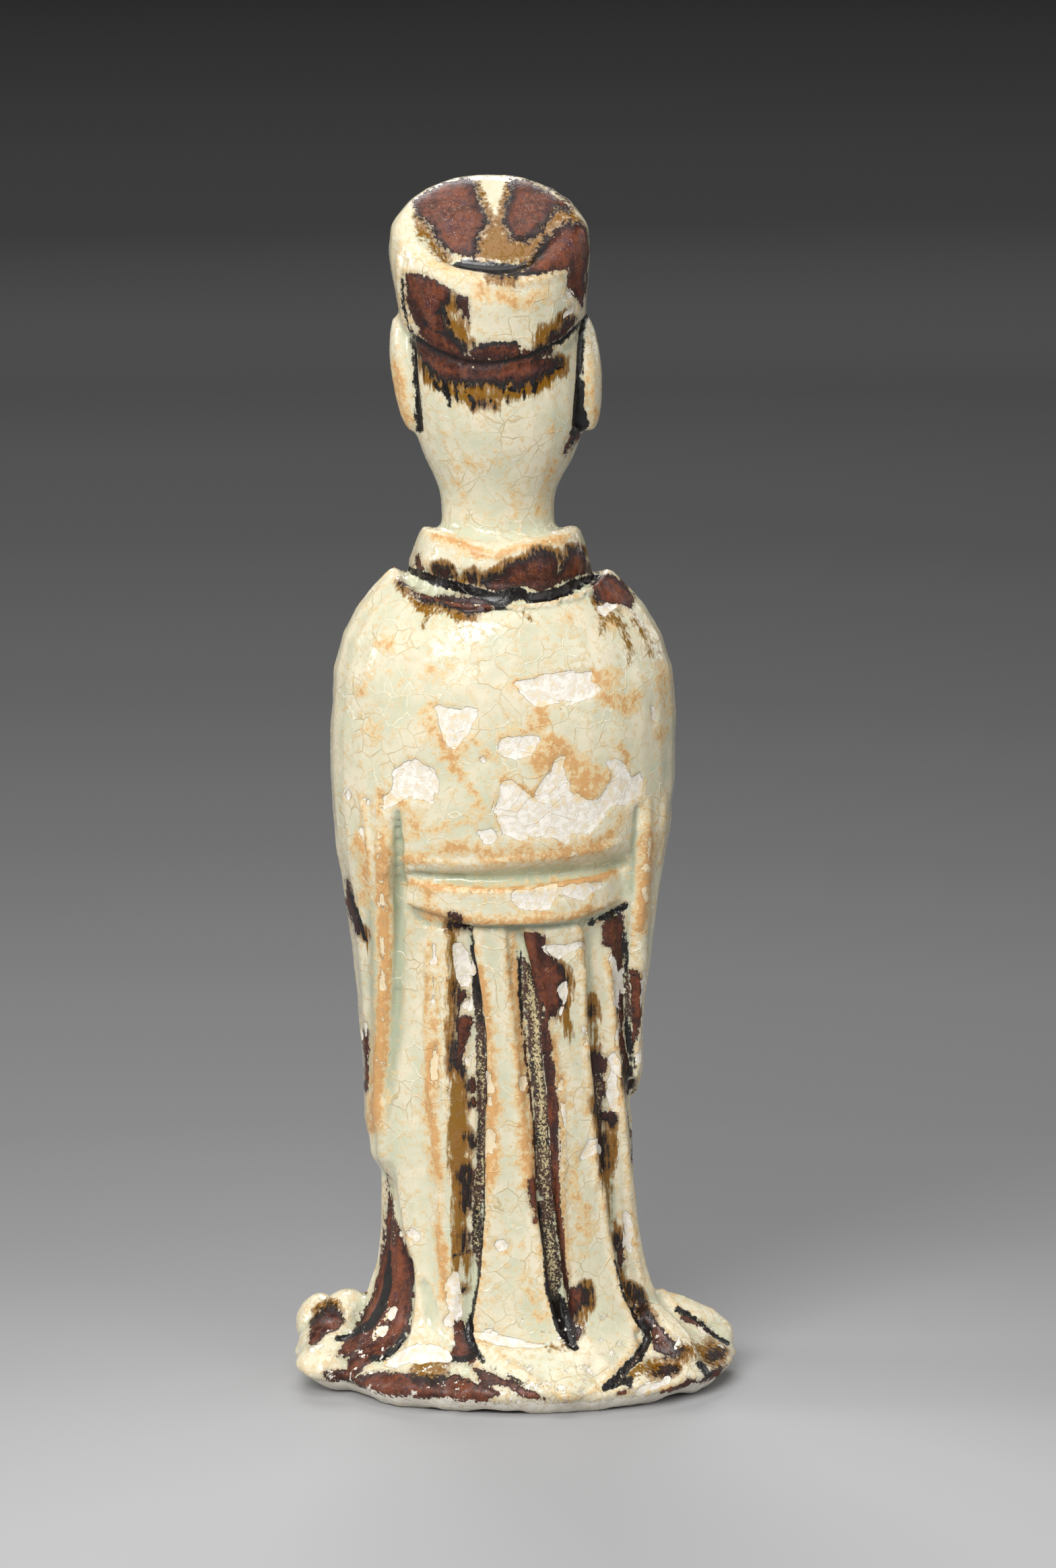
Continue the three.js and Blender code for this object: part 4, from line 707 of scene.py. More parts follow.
# The front's marks, in millimetres, seen straight from the front: x and height round an outline,
# or x, height and half the width along a stroke. Left and right are the figure's own. A raised
# mark stands up from the skin, and the ram's fleece is curly.
FRONT = {
    "iron": {
        "crown right": [(-13, 209), (-6, 211), (-3, 206), (-5, 199), (-3.5, 192), (-8, 188), (-12, 190),
            (-15, 197)],
        "crown left": [(6, 210), (14, 209), (17, 203), (15, 196), (17, 189), (12, 186), (9, 191),
            (10, 199)],
        "cap band": [(-11, 187, 1.2), (-5, 184.8, 1.6), (3, 184.2, 1.8), (9, 184.8, 1.5), (15, 187, 1)],
        "collar right": [(-14, 150), (-9, 147), (-4, 141), (-1, 134), (-4, 133), (-9, 139), (-14, 145)],
        "collar left": [(10, 140), (14, 145), (18, 149), (20, 146), (17, 140), (13, 135), (9, 133)],
        "shoulder left": [(22, 148), (28, 143), (32, 134), (33, 124), (30, 120), (28, 128), (25, 133),
            (22, 131), (20, 140)],
        "shoulder right": [(-26, 143), (-22, 146), (-20, 140), (-24, 134), (-25, 126), (-30, 121),
            (-32, 128), (-30, 137)],
        "horn": [(10.6, 126.6, 0.9), (8.6, 125.4, 1), (8.2, 123, 0.9), (9.8, 121.2, 0.8)],
        "haunch": [(-8, 119, 1.6), (-6.4, 116, 1.8), (-7, 113.6, 1)],
        "sleeve right": [(-15, 112, 1.5), (-20, 109, 2.6), (-24, 103, 2.4), (-25, 95, 1.2)],
        "sleeve left": [(24, 108, 1.6), (28, 101, 2.4), (30, 92, 2.2), (29, 82, 1)],
        "side right": [(-22, 80, 1.4), (-23, 70, 2), (-21, 60, 1.2)],
        "pleat left high": [(15, 90, 1.4), (14.6, 82, 2.4), (15.4, 74, 1.2), (16, 68, 0.5)],
        "pleat left low": [(16.8, 58, 0.6), (16, 51, 2), (17.4, 43, 1)],
        "pleat right high": [(-13.4, 79, 0.6), (-14, 70, 2), (-14.4, 62, 1.2), (-14.2, 57, 0.4)],
        "pleat right low": [(-15.6, 46, 0.5), (-16, 39, 1.6), (-17, 28, 1.8), (-18.4, 21, 0.8)],
        "panel": [(1.6, 85, 1.4), (2.4, 79, 2.6), (4.2, 73, 1.8), (4.6, 68, 0.8)],
        "panel left foot": [(10.6, 36, 0.6), (11, 29, 1.8), (12, 22, 1)],
        "panel right foot": [(-6.6, 42, 0.5), (-6.8, 35, 1.5), (-7.6, 27, 0.8)],
        "hem right": [(-34, 10), (-28, 15), (-22, 13), (-16, 15), (-12, 9), (-17, 4), (-26, 3), (-33, 4)],
        "hem left": [(10, 12), (15, 17), (21, 13), (27, 16), (33, 11), (31, 4), (22, 2), (13, 5)],
        "hem middle": [(-4, 7, 1.6), (3, 5, 2.2), (8, 6, 1.4)],
    },
    "ink": {
        "cap line": [(-13, 184.2, 0.5), (-6, 182.6, 0.6), (3, 182.2, 0.7), (10, 182.6, 0.6),
            (17, 184.2, 0.5)],
        "brow right": [(-4, 178.6, 0.3), (-2.6, 179.7, 0.42), (-0.4, 179.9, 0.45), (2, 178.5, 0.3)],
        "brow left": [(5.2, 178.5, 0.3), (7.6, 179.9, 0.45), (9.8, 179.7, 0.42), (11.2, 178.6, 0.3)],
        "eyelid right": [(-3, 174.6, 0.25), (-1.6, 175.7, 0.36), (0, 175.7, 0.36), (1.6, 174.5, 0.22)],
        "eyelid left": [(5.6, 174.5, 0.22), (7.2, 175.7, 0.36), (8.8, 175.7, 0.36), (10.2, 174.6, 0.25)],
        "eye of the ram": [(13.8, 123.7, 0.5), (14, 123.6, 0.5)],
        "pupil right": [(-0.8, 174.4, 0.75), (-0.5, 174.4, 0.75)],
        "pupil left": [(7.7, 174.4, 0.75), (8, 174.4, 0.75)],
        "ear line right": [(-12.2, 183, 0.3), (-12.5, 176, 0.45), (-11.8, 169, 0.4)],
        "ear line left": [(19.8, 183, 0.3), (20, 176, 0.45), (19.2, 168, 0.5)],
        "pleat left high": [(16.4, 84, 0.3), (16.6, 74, 0.6), (17, 66, 0.25)],
        "pleat left low": [(17.4, 56, 0.25), (17.8, 48, 0.5), (18.2, 42, 0.3)],
        "pleat right high": [(-15, 74, 0.25), (-15.4, 66, 0.5), (-15.6, 58, 0.3)],
        "pleat right low": [(-17.2, 40, 0.3), (-17.8, 31, 0.5), (-18.4, 26, 0.2)],
        "panel left": [(8.8, 40, 0.25), (9.2, 26, 0.4), (10, 12, 0.3)],
        "panel right": [(-4.4, 84, 0.3), (-4.6, 76, 0.35), (-4.8, 70, 0.2)],
    },
    "crust": {
        "collar right": [(-13, 148, -0.1), (-7, 143, 0.3), (0, 135.5, 0.1)],
        "collar left": [(19, 148, 0), (13, 143, 0.3), (7, 136.5, -0.1)],
        "panel left": [(8.6, 82, 0.2), (8.6, 66, 0.9), (8.8, 46, 0.4)],
        "panel right": [(-4.9, 62, 0.2), (-5.2, 44, 0.9), (-5.8, 28, 0.8), (-6.6, 18, 0.1)],
    },
    "amber": {
        "crown right": [(-4, 204, 1.4), (-2, 196, 1.2), (-3, 189, 0.8)],
        "crown left": [(7, 204, 1.4), (7.6, 196, 1.2), (8, 189, 0.8)],
        "hair": [(-8, 182, 1.4), (0, 180.6, 1.2), (8, 180.6, 1.2), (14, 182, 1.4)],
        "collar right": [(-3, 132, 1.2), (-3.4, 126, 0.8)],
        "collar left": [(11, 132, 1.4), (11.4, 125, 0.8)],
        "shoulder left": [(30, 119, 1.4), (30.6, 110, 0.8)],
        "shoulder right": [(-30, 120, 1.4), (-31, 111, 0.8)],
        "sleeve right": [(-25, 94, 1.2), (-25.4, 84, 0.7)],
        "sleeve left": [(29, 82, 1.2), (28.6, 70, 0.7)],
        "pleat left high": [(13, 80, 1.2), (12.8, 68, 1.8), (13.2, 58, 0.8)],
        "pleat left low": [(14.2, 44, 1.2), (14.8, 34, 0.8)],
        "pleat right high": [(-11.4, 70, 1), (-11.8, 58, 1.6), (-12, 49, 0.8)],
        "pleat right low": [(-14, 30, 1.2), (-15, 22, 0.8)],
        "panel": [(4.4, 70, 1.2), (5, 60, 0.8)],
        "panel foot": [(11.2, 20, 1.2), (12.4, 12, 0.8)],
        "hem right": [(-22, 16, 1.4), (-14, 13, 1.2)],
        "hem left": [(16, 17, 1.2), (26, 16, 1.6)],
    },
    "bare": {
        "sleeve right": [(-27, 116), (-22, 118), (-18, 115), (-20, 110), (-26, 109)],
        "sleeve left": [(25, 80), (31, 84), (33, 76), (30, 68), (26, 70)],
        "side right": [(-27, 74), (-23, 76), (-22, 68), (-25, 62), (-28, 67)],
        "neck": [(3, 152.4, 0.8), (6, 151, 1)],
        "panel": [(-2, 50), (4, 53), (6, 46), (2, 40), (-3, 43)],
        "foot left": [(19, 28), (23, 33), (24, 24), (21, 18), (18, 22)],
        "foot right": [(-24, 24), (-20, 28), (-18, 20), (-21, 15)],
        "crown": [(5, 208), (2, 210), (0, 205), (3, 202)],
    },
    "stain": {
        "sleeve right": [(-28, 112, 3), (-22, 106, 3), (-16, 112, 2)],
        "side left": [(29, 78, 1.6), (27, 70, 2.2), (25.6, 62, 0.8)],
        "side right": [(-26, 68, 2.2), (-24, 60, 1.6)],
        "panel": [(-3, 50, 1), (-2, 42, 1.6)],
        "foot right": [(-11, 30, 1.6), (-12, 20, 2.4)],
        "foot left": [(13, 44, 1.4), (14, 26, 2.6)],
        "pleat right": [(-16, 60, 1.2), (-17, 84, 1.4)],
        "pleat left": [(19.6, 60, 1.2), (20, 90, 1.4)],
        "cuff right": [(-13, 104, 1.6), (-19, 100, 1.2)],
        "cuff left": [(14, 101, 1.6), (21, 98, 1.2)],
        "neck": [(-8, 160, 1), (-8.6, 156, 1)],
        "collar": [(11, 154, 1), (12, 150, 1.2)],
        "cap": [(-2, 195, 2), (8, 193, 2)],
    },
    "pool": {
        "collar crossing": [(2.8, 128, 1.4), (3, 134, 1)],
        "pleat left": [(18.6, 98, 0.9), (18.8, 70, 1.1), (18.4, 46, 0.9)],
        "pleat right": [(-15.6, 98, 0.9), (-16.6, 70, 1.1), (-17, 58, 0.9)],
    },
    "groove": {
        "cap edge": [(-12, 184.2, 0.6), (-6, 182.4, 0.7), (3, 182, 0.7), (10, 182.4, 0.7),
            (17, 184.2, 0.6)],
        "under the right eye": [(-3.2, 173.2, 0.3), (-0.8, 172.7, 0.35), (1.6, 173.2, 0.3)],
        "under the left eye": [(5.6, 173.2, 0.3), (8, 172.7, 0.35), (10.4, 173.2, 0.3)],
        "mouth": [(0.4, 163.2, 0.3), (3.6, 162.9, 0.4), (6.8, 163.2, 0.3)],
        "nostril right": [(1, 170, 0.4), (0.4, 168.4, 0.4)],
        "nostril left": [(6.2, 170, 0.4), (6.8, 168.4, 0.4)],
        "finger right": [(1.4, 111, 0.4), (1, 106.6, 0.4)],
        "finger middle": [(3.6, 111.6, 0.5), (3.6, 106, 0.4)],
        "finger left": [(5.8, 111, 0.4), (6.2, 106.6, 0.4)],
        "mouth of the ram": [(15.4, 119.4, 0.3), (17.4, 119.6, 0.3)],
        "fold right high": [(-26, 141, 0.5), (-22, 131, 0.9), (-16, 123, 0.5)],
        "fold right low": [(-28, 127, 0.5), (-24, 119, 0.9), (-17, 114, 0.5)],
        "fold left high": [(31, 141, 0.5), (28, 131, 0.9), (22, 123, 0.5)],
        "fold left low": [(33, 127, 0.5), (29, 119, 0.9), (23, 114, 0.5)],
        "cuff right": [(-7, 108, 0.4), (-13, 101, 0.9), (-20, 97, 0.5)],
        "cuff left": [(14, 108, 0.4), (20, 101, 0.9), (27, 97, 0.5)],
    },
    "fleece": {
        "back of the ram": [(-9.5, 121), (-8, 124), (-3, 125), (3, 125), (7, 124), (8, 119), (8, 115),
            (2, 114), (-4, 115), (-9, 114)],
    },
    "raised": {
        "brow right": [(-4, 178.4, 0.6), (-1.2, 179.2, 0.8), (2, 178, 0.5)],
        "brow left": [(5.2, 178, 0.5), (8.4, 179.2, 0.8), (11.2, 178.4, 0.6)],
        "eyelid right": [(-3, 175, 0.4), (-0.8, 175.9, 0.6), (1.6, 174.9, 0.4)],
        "eyelid left": [(5.6, 174.9, 0.4), (8, 175.9, 0.6), (10.2, 175, 0.4)],
        "lower lid right": [(-2.4, 171.9, 0.4), (-0.8, 171.5, 0.5), (1, 171.9, 0.4)],
        "lower lid left": [(6.2, 171.9, 0.4), (8, 171.5, 0.5), (9.6, 171.9, 0.4)],
        "upper lip": [(1, 164.3, 0.6), (2.8, 164.9, 0.7), (3.6, 164.6, 0.6), (4.4, 164.9, 0.7),
            (6.2, 164.3, 0.6)],
        "lower lip": [(1.8, 161.7, 0.6), (3.6, 161.4, 0.8), (5.4, 161.7, 0.6)],
    },
}


# Arithmetic on many points at once, in millimetres

def smooth(low, high, at):
    share = np.clip((at - low) / (high - low), 0, 1)
    return share * share * (3 - 2 * share)


# Odd numbers that mix a cell's place into one that looks random, and the half of 16 bits
MIX_X, MIX_Y, MIX_Z, MIX_SEED, MIX_AGAIN = 73856093, 19349663, 83492791, 97531, 1274126177
HALF_SPAN = 32767.5


def lumpy(points, size, seed):
    """Smooth unevenness from -1 to 1, in lumps of about a size. It is the same every time."""
    cells = np.floor(points / size)
    inside = points / size - cells
    inside = inside * inside * (3 - 2 * inside)
    cells = cells.astype(np.int64) + 4096  # no cell is negative
    total = np.zeros(len(points))
    for corner in range(8):
        step = np.array([corner & 1, corner >> 1 & 1, corner >> 2 & 1])
        cell = cells + step
        mixed = cell[:, 0] * MIX_X ^ cell[:, 1] * MIX_Y ^ cell[:, 2] * MIX_Z ^ seed * MIX_SEED
        mixed = (mixed ^ mixed >> 13) * MIX_AGAIN & 0xFFFFFFFF
        value = (mixed ^ mixed >> 16 & 0xFFFF) & 0xFFFF
        total += (value / HALF_SPAN - 1) * np.prod(np.where(step, inside, 1 - inside), axis=1)
    return total


FAR = 1e9  # further than anything on the figure
TINY = 1e-9  # keeps a stroke of one point from a division by nothing


def inside_outline(x, z, outline, run):
    """How deep each place lies inside a closed outline, and negative outside it. Below the
    outline the distance counts run times as much, so a small run lets a mark trail down."""
    nearest = np.full(len(x), FAR)
    crossings = np.zeros(len(x), bool)
    for (x0, z0), (x1, z1) in zip(outline, outline[1:] + outline[:1]):
        dx, dz = x1 - x0, z1 - z0
        share = np.clip(((x - x0) * dx + (z - z0) * dz) / (dx * dx + dz * dz), 0, 1)
        across, up = x - x0 - share * dx, z - z0 - share * dz
        nearest = np.minimum(nearest, np.hypot(across, np.where(up < 0, up * run, up)))
        if dz:
            crossings ^= ((z0 > z) != (z1 > z)) & (x < x0 + (z - z0) * dx / dz)
    return np.where(crossings, nearest, -nearest)


def inside_stroke(x, z, stroke, run):
    """The same for a stroke through points, each with its own half width."""
    deepest = np.full(len(x), -FAR)
    for (x0, z0, half0), (x1, z1, half1) in zip(stroke, stroke[1:] or stroke):
        dx, dz = x1 - x0, z1 - z0
        share = np.clip(((x - x0) * dx + (z - z0) * dz) / (dx * dx + dz * dz + TINY), 0, 1)
        across, up = x - x0 - share * dx, z - z0 - share * dz
        away = np.hypot(across, np.where(up < 0, up * run, up))
        deepest = np.maximum(deepest, half0 + share * (half1 - half0) - away)
    return deepest


class Skin:
    """The vertices of a mesh as arrays, in millimetres."""

    def __init__(self, mesh):
        self.mesh = mesh
        count = len(mesh.vertices)
        self.places = np.empty(count * 3)
        mesh.vertices.foreach_get("co", self.places)
        self.places = self.places.reshape(-1, 3) / MM
        self.edges = np.empty(len(mesh.edges) * 2, np.int64)
        mesh.edges.foreach_get("vertices", self.edges)
        self.edges = self.edges.reshape(-1, 2)
        self.joined = np.bincount(self.edges.ravel(), minlength=count)[:, None]
        self.normals = np.empty(count * 3)
        self.mesh.vertex_normals.foreach_get("vector", self.normals)
        self.normals = self.normals.reshape(-1, 3)

    def spread(self, values, rounds):
        """The values after each has moved halfway to the mean of its neighbours, so many times."""
        values = values.reshape(len(values), -1)
        first, second = self.edges.T
        for _ in range(rounds):
            total = np.stack([
                np.bincount(first, column[second], len(column))
                + np.bincount(second, column[first], len(column)) for column in values.T], axis=1)
            values = (values + total / self.joined) / 2
        return values

    def hollowness(self, rounds):
        """How far each point lies below the surface when that is smoothed, in millimetres."""
        away = self.spread(self.places, rounds) - self.places
        return (away * self.normals).sum(axis=1)

    def write(self):
        self.mesh.vertices.foreach_set("co", (self.places * MM).ravel())
        self.mesh.update()

    def keep(self, name, values):
        """Keeps values as an attribute, for the material."""
        attribute = self.mesh.attributes.new(name, "FLOAT", "POINT")
        attribute.data.foreach_set("value", values.astype(np.float32))


# The figure's fine surface starts as a copy of the moulded body, cut into small even faces

GRID = 0.71 * MM
MERGED = 1e-6  # corners of the solid closer than this are one
PIECE = "zodiac_figure_glazed"
NODE = "zodiac_figure"


def applied(piece, kind, **settings):
    modifier = piece.modifiers.new(kind.lower(), kind)
    for name, value in settings.items():
        setattr(modifier, name, value)
    bpy.ops.object.modifier_apply(modifier=modifier.name)


# Small lumps of clay that model the ram and fill the gaps about it, in millimetres: the middle,
# half the width, depth and height, and the turn in degrees about the line from front to back
DABS = {
    "head": (13.2, -24, 122.8, 4.4, 3, 3.3, 38),
    "muzzle": (16, -24.2, 120.4, 2.3, 2, 1.9, 38),
    "neck": (8.4, -22.6, 120.6, 4.6, 3.8, 4.4, 0),
    "tail": (-11.6, -23, 118.6, 1.7, 1.5, 2.4, 20),
    "haunch": (-8, -25, 117.4, 3.8, 3.2, 4.2, 0),
    "shoulder": (4.6, -25.4, 116.6, 3, 2.4, 3.6, 0),
    "fore hoof": (12.6, -25.8, 114.2, 1.6, 1.5, 1.5, 0),
    "hind hoof": (1.6, -26.6, 113.6, 1.6, 1.5, 1.5, 0),
    "under the belly": (-4.8, -22, 112.6, 2.6, 2, 2.2, 0),
    "under the chest": (2.8, -22.6, 112.2, 2.2, 2, 2.4, 0),
    "right hand": (-0.2, -21.4, 110.4, 2.4, 2.4, 3.2, 0),
    "left hand": (5.8, -21.4, 110.4, 2.4, 2.4, 3.2, 0),
}

# The ram's near horn curls round its ear as a row of dabs, each further round, nearer to the
# middle of the curl, further forward and thinner than the one before
HORN_MIDDLE = (10.4, -26.2, 123.6)
HORN_DABS = 16
HORN_START, HORN_STEP = 70, 24  # degrees
HORN_REACH, HORN_CLOSING = 3.1, 0.11
HORN_THICK, HORN_THINNING = 1.3, 0.045
HORN_FORWARD = 0.07


def horn():
    dabs = []
    x, y, z = HORN_MIDDLE
    for i in range(HORN_DABS):
        turn = math.radians(HORN_START + HORN_STEP * i)
        reach = HORN_REACH - HORN_CLOSING * i
        thick = HORN_THICK - HORN_THINNING * i
        dabs.append((x + reach * math.cos(turn), y - HORN_FORWARD * i, z + reach * math.sin(turn),
                     thick, thick, thick, 0))
    return dabs


def dab(piece, dabs):
    """Adds dabs to a piece, to be melted into it."""
    for x, y, z, wide, deep, high, turn in dabs:
        bpy.ops.mesh.primitive_uv_sphere_add(segments=16, ring_count=10, location=(x * MM, y * MM, z * MM),
                                             rotation=(0, math.radians(turn), 0))
        bpy.context.object.scale = wide * MM, deep * MM, high * MM
        piece.select_set(True)
        bpy.context.view_layer.objects.active = piece
        bpy.ops.object.join()


def fine_copy():
    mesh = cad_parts[NODE].data.copy()
    mesh.name = PIECE
    mesh.materials.clear()
    piece = bpy.data.objects.new(PIECE, mesh)
    scene.collection.objects.link(piece)
    bpy.ops.object.select_all(action="DESELECT")
    bpy.context.view_layer.objects.active = piece
    piece.select_set(True)
    bpy.ops.object.mode_set(mode="EDIT")
    bpy.ops.mesh.select_all(action="SELECT")
    bpy.ops.mesh.remove_doubles(threshold=MERGED)
    bpy.ops.object.mode_set(mode="OBJECT")
    dab(piece, [*DABS.values(), *horn()])
    applied(piece, "REMESH", mode="VOXEL", voxel_size=GRID, use_smooth_shade=True)
    applied(piece, "SMOOTH", factor=0.5, iterations=4)
    return piece


def seen(places):
    """Where each point shows on the plane through the figure's middle, from the main camera."""
    eye = np.array(camera_place) / MM
    share = eye[1] / (eye[1] - places[:, 1])
    return (eye + (places - eye) * share[:, None])[:, [0, 2]].T


# The front's splashes and flakes waver below the chin, because they are drawn with few points:
# how far, in millimetres, over which heights it fades, and how wide the waves are
WAVERING = ("iron", "amber", "bare", "stain")
WAVER = 1.6
WAVER_FADES = (146, 156)
WAVES = (9, 4)
# A mark counts as this much further away where it is on the side that its view doesn't show, and
# depths start from a place outside every mark
HIDDEN = 8
OUTSIDE = -9.0
# Between the hem and the crown, the marks of the back end at the figure's sides
HEM_TOP, CROWN_FOOT = 20, 190
SIDES = (-4, -8)


class Surface:
    """The skin's points as they show from behind and from the front, with the marks there."""

    def __init__(self, skin):
        eye = np.array(camera_place) / MM
        sight = eye - skin.places
        facing = (skin.normals * sight).sum(axis=1) / np.linalg.norm(sight, axis=1)
        x, y, z = skin.places.T
        turned_away = 1 - smooth(-0.3, 0.05, facing) + smooth(*SIDES, y) * (z > HEM_TOP) * (z < CROWN_FOOT)
        behind = smooth(-0.25, 0.05, skin.normals[:, 1])
        waver = WAVER * (1 - smooth(*WAVER_FADES, z))
        broad, narrow = WAVES
        waver_x = waver * (lumpy(skin.places, broad, 21) + 0.5 * lumpy(skin.places, narrow, 22))
        waver_z = waver * (lumpy(skin.places, broad, 23) + 0.5 * lumpy(skin.places, narrow, 24))
        from_the_back = (BACK, *seen(skin.places), HIDDEN * turned_away)
        self.views = [from_the_back, (FRONT, x, z, HIDDEN * behind)]
        self.wavering = [from_the_back, (FRONT, x + waver_x, z + waver_z, HIDDEN * behind)]

    def depth(self, kind, run=1.0):
        """How deep each point lies inside any mark of a kind, negative outside them all."""
        deepest = np.full(len(self.views[0][1]), OUTSIDE)
        for marks, x, z, hidden in self.wavering if kind in WAVERING else self.views:
            for mark in marks.get(kind, {}).values():
                inside = inside_stroke if len(mark[0]) == 3 else inside_outline
                deepest = np.maximum(deepest, inside(x, z, mark, run) - hidden)
        return deepest


# How far the marks go into the skin or stand out of it, in millimetres
GROOVE_DEPTH = 0.65
RIDGE_HEIGHT = 0.45
RAISED_HEIGHT = 0.4
FLAKE_DEPTH = 0.26
GRIT_HEIGHT = 0.12
GRAIN_HEIGHT, GRAIN_SIZE = 0.22, 1.5
CURL_HEIGHT, CURL_SIZE = 0.7, 2.1
# The clay is uneven in lumps of these sizes and heights, with a number that picks each set, and
# more so near the hem
UNEVEN = [(11, 0.2, 3), (5, 0.1, 4), (2, 0.04, 5)]
HEM_UNEVEN = [(6, 0.5, 7), (2.6, 0.3, 8)]
HEM_HEIGHTS = (5, 16)
# The slope of the shoulders behind lies a little lower than the solid's, between these heights
SLOPE_DEPTH = 1.2
SLOPE_FOOT, SLOPE_TOP = (122, 142), (143, 146)
# The hem's rim is drawn in towards the ground, and stands flat on it
RIM_HIGH, RIM_DRAWN_IN = 5, 0.1
GROUND = 0.02
# The edges of the marks are ragged by this much, in lumps of these sizes
RAGGED = [(2.9, 0.4, 1), (1.5, 0.3, 2)]
HOLLOW_ROUNDS = 8


def unevenness(skin, lumps):
    return sum(high * lumpy(skin.places, size, seed) for size, high, seed in lumps)


def modelled(piece):
    skin = Skin(piece.data)
    surface = Surface(skin)
    z = skin.places[:, 2]
    ragged = unevenness(skin, RAGGED)
    ridge = surface.depth("ridge")
    bare = surface.depth("bare") + ragged
    crust = surface.depth("crust") + 0.5 * ragged
    back = smooth(0.1, 0.6, skin.normals[:, 1])
    relief = unevenness(skin, UNEVEN) + unevenness(skin, HEM_UNEVEN) * (1 - smooth(*HEM_HEIGHTS, z))
    relief -= SLOPE_DEPTH * back * smooth(*SLOPE_FOOT, z) * (1 - smooth(*SLOPE_TOP, z))
    relief -= GROOVE_DEPTH * smooth(-0.35, 0.45, surface.depth("groove"))
    relief += RIDGE_HEIGHT * smooth(-0.5, 0.6, ridge)
    relief += RAISED_HEIGHT * smooth(-0.5, 0.5, surface.depth("raised"))
    relief += CURL_HEIGHT * lumpy(skin.places, CURL_SIZE, 9) * smooth(-0.5, 0.5, surface.depth("fleece"))
    relief -= FLAKE_DEPTH * smooth(-0.3, 0.3, bare)
    relief += smooth(-0.2, 0.4, crust) * (GRIT_HEIGHT + GRAIN_HEIGHT * lumpy(skin.places, GRAIN_SIZE, 6))
    skin.places = skin.places + skin.normals * relief[:, None]
    skin.places[:, :2] *= 1 - RIM_DRAWN_IN * (1 - smooth(0, RIM_HIGH, skin.places[:, 2]))[:, None]
    skin.places[skin.places[:, 2] < GROUND, 2] = 0
    skin.write()

    # The material reads how deep each point lies in each kind of mark
    skin = Skin(piece.data)
    skin.keep("iron", surface.depth("iron") + 0.6 * ragged)
    skin.keep("amber", surface.depth("amber", 0.5) + 0.7 * ragged)
    skin.keep("ink", surface.depth("ink") + 0.2 * ragged)
    skin.keep("crust", crust)
    skin.keep("bare", bare)
    skin.keep("stain", surface.depth("stain") + ragged)
    skin.keep("pool", surface.depth("pool"))
    skin.keep("worn", ridge + 0.4 * ragged)
    skin.keep("hollow", skin.hollowness(HOLLOW_ROUNDS))



# The glaze

def linear(hex_colour):
    """An sRGB colour such as #e8e6d2 as the linear values that a shader takes."""
    channels = [int(hex_colour[i:i + 2], 16) / 255 for i in (1, 3, 5)]
    return [c / 12.92 if c <= 0.04045 else ((c + 0.055) / 1.055) ** 2.4 for c in channels] + [1]


def add(tree, kind, inputs=(), output=0, stops=(), **settings):
    """Adds a node with its settings and links, and gives one of its outputs."""
    made = tree.nodes.new("ShaderNode" + kind)
    for name, value in settings.items():
        setattr(made, name, value)
    for slot, value in inputs.items() if isinstance(inputs, dict) else enumerate(inputs):
        if isinstance(value, bpy.types.NodeSocket):
            tree.links.new(value, made.inputs[slot])
        else:
            made.inputs[slot].default_value = value
    for i, (place, colour) in enumerate(stops):
        ramp = made.color_ramp.elements
        stop = ramp[i] if i < 2 else ramp.new(place)
        stop.position = place
        stop.color = linear(colour)
    return made.outputs[output] if made.outputs else made


# What the skin's points know: how deep they lie in each kind of mark, and in hollows, in millimetres
FIELDS = ("iron", "amber", "ink", "crust", "bare", "stain", "pool", "worn", "hollow")

# Colours
CREAM, GREEN, POOLED = "#e5dbc0", "#cbccb0", "#a3ab90"
CRACKLE_PALE, CRACKLE_BROWN = "#f4eed8", "#c2b288"
RUST_PALE, RUST = "#e4cb99", "#cf9a5b"
AMBER_THIN, AMBER_THICK, AMBER_DARK = "#855f12", "#875a14", "#33200a"
IRON_EDGE, IRON_DARK, IRON_RED = "#1a0e09", "#32150d", "#7f4122"
# The second iron colour here is the glint of crystal specks, painted as a highlight
IRON_PLUM, IRON_SPECK_GLINT = "#4c2a30", "#b79c90"
INK_BLACK = "#15110f"
GRIT, SOOT, SOOT_BROWN = "#d3c296", "#2c2320", "#4a2e28"
BISCUIT, BISCUIT_DULL = "#f1ebdf", "#e8ddc9"

# Finish: the glaze is glass, rougher where it is anything but clear, and the bare body is chalky
GLAZE_IOR = 1.5
GLASSY, CHALKY = 0.06, 0.85
SATIN_IRON, MATT_SPECKS, MATT_GRIT, MATT_RUST, DULL_INK = 0.18, 0.3, 0.45, 0.3, 0.18

# Crackle, in millimetres: the width of its cells and how far their sides wander. The lines are
# drawn wider than the real hairlines, so that they show.
CRACKLE_CELL, CRACKLE_WANDER = 3.9, 1.8
RUN_STRETCH = 0.16  # runs are about six times as long as they are wide
# The hem is bare up to about this height, ending this sharply, and scuffed below these heights
FOOT_HEIGHT, FOOT_EDGE = 1, 1.2
SCUFFS_END, SCUFFS_FULL = 26, 6

# Heights that are too small for the mesh, in millimetres
FLAKE_STEP, CRACK_LIP, GRIT_SPECKS, CHALK_GRAIN = -0.24, 0.05, 0.14, 0.06
GLAZE_RIPPLE, IRON_GRAIN, IRON_THICK, RUST_SKIN = 0.04, 0.05, 0.05, 0.03


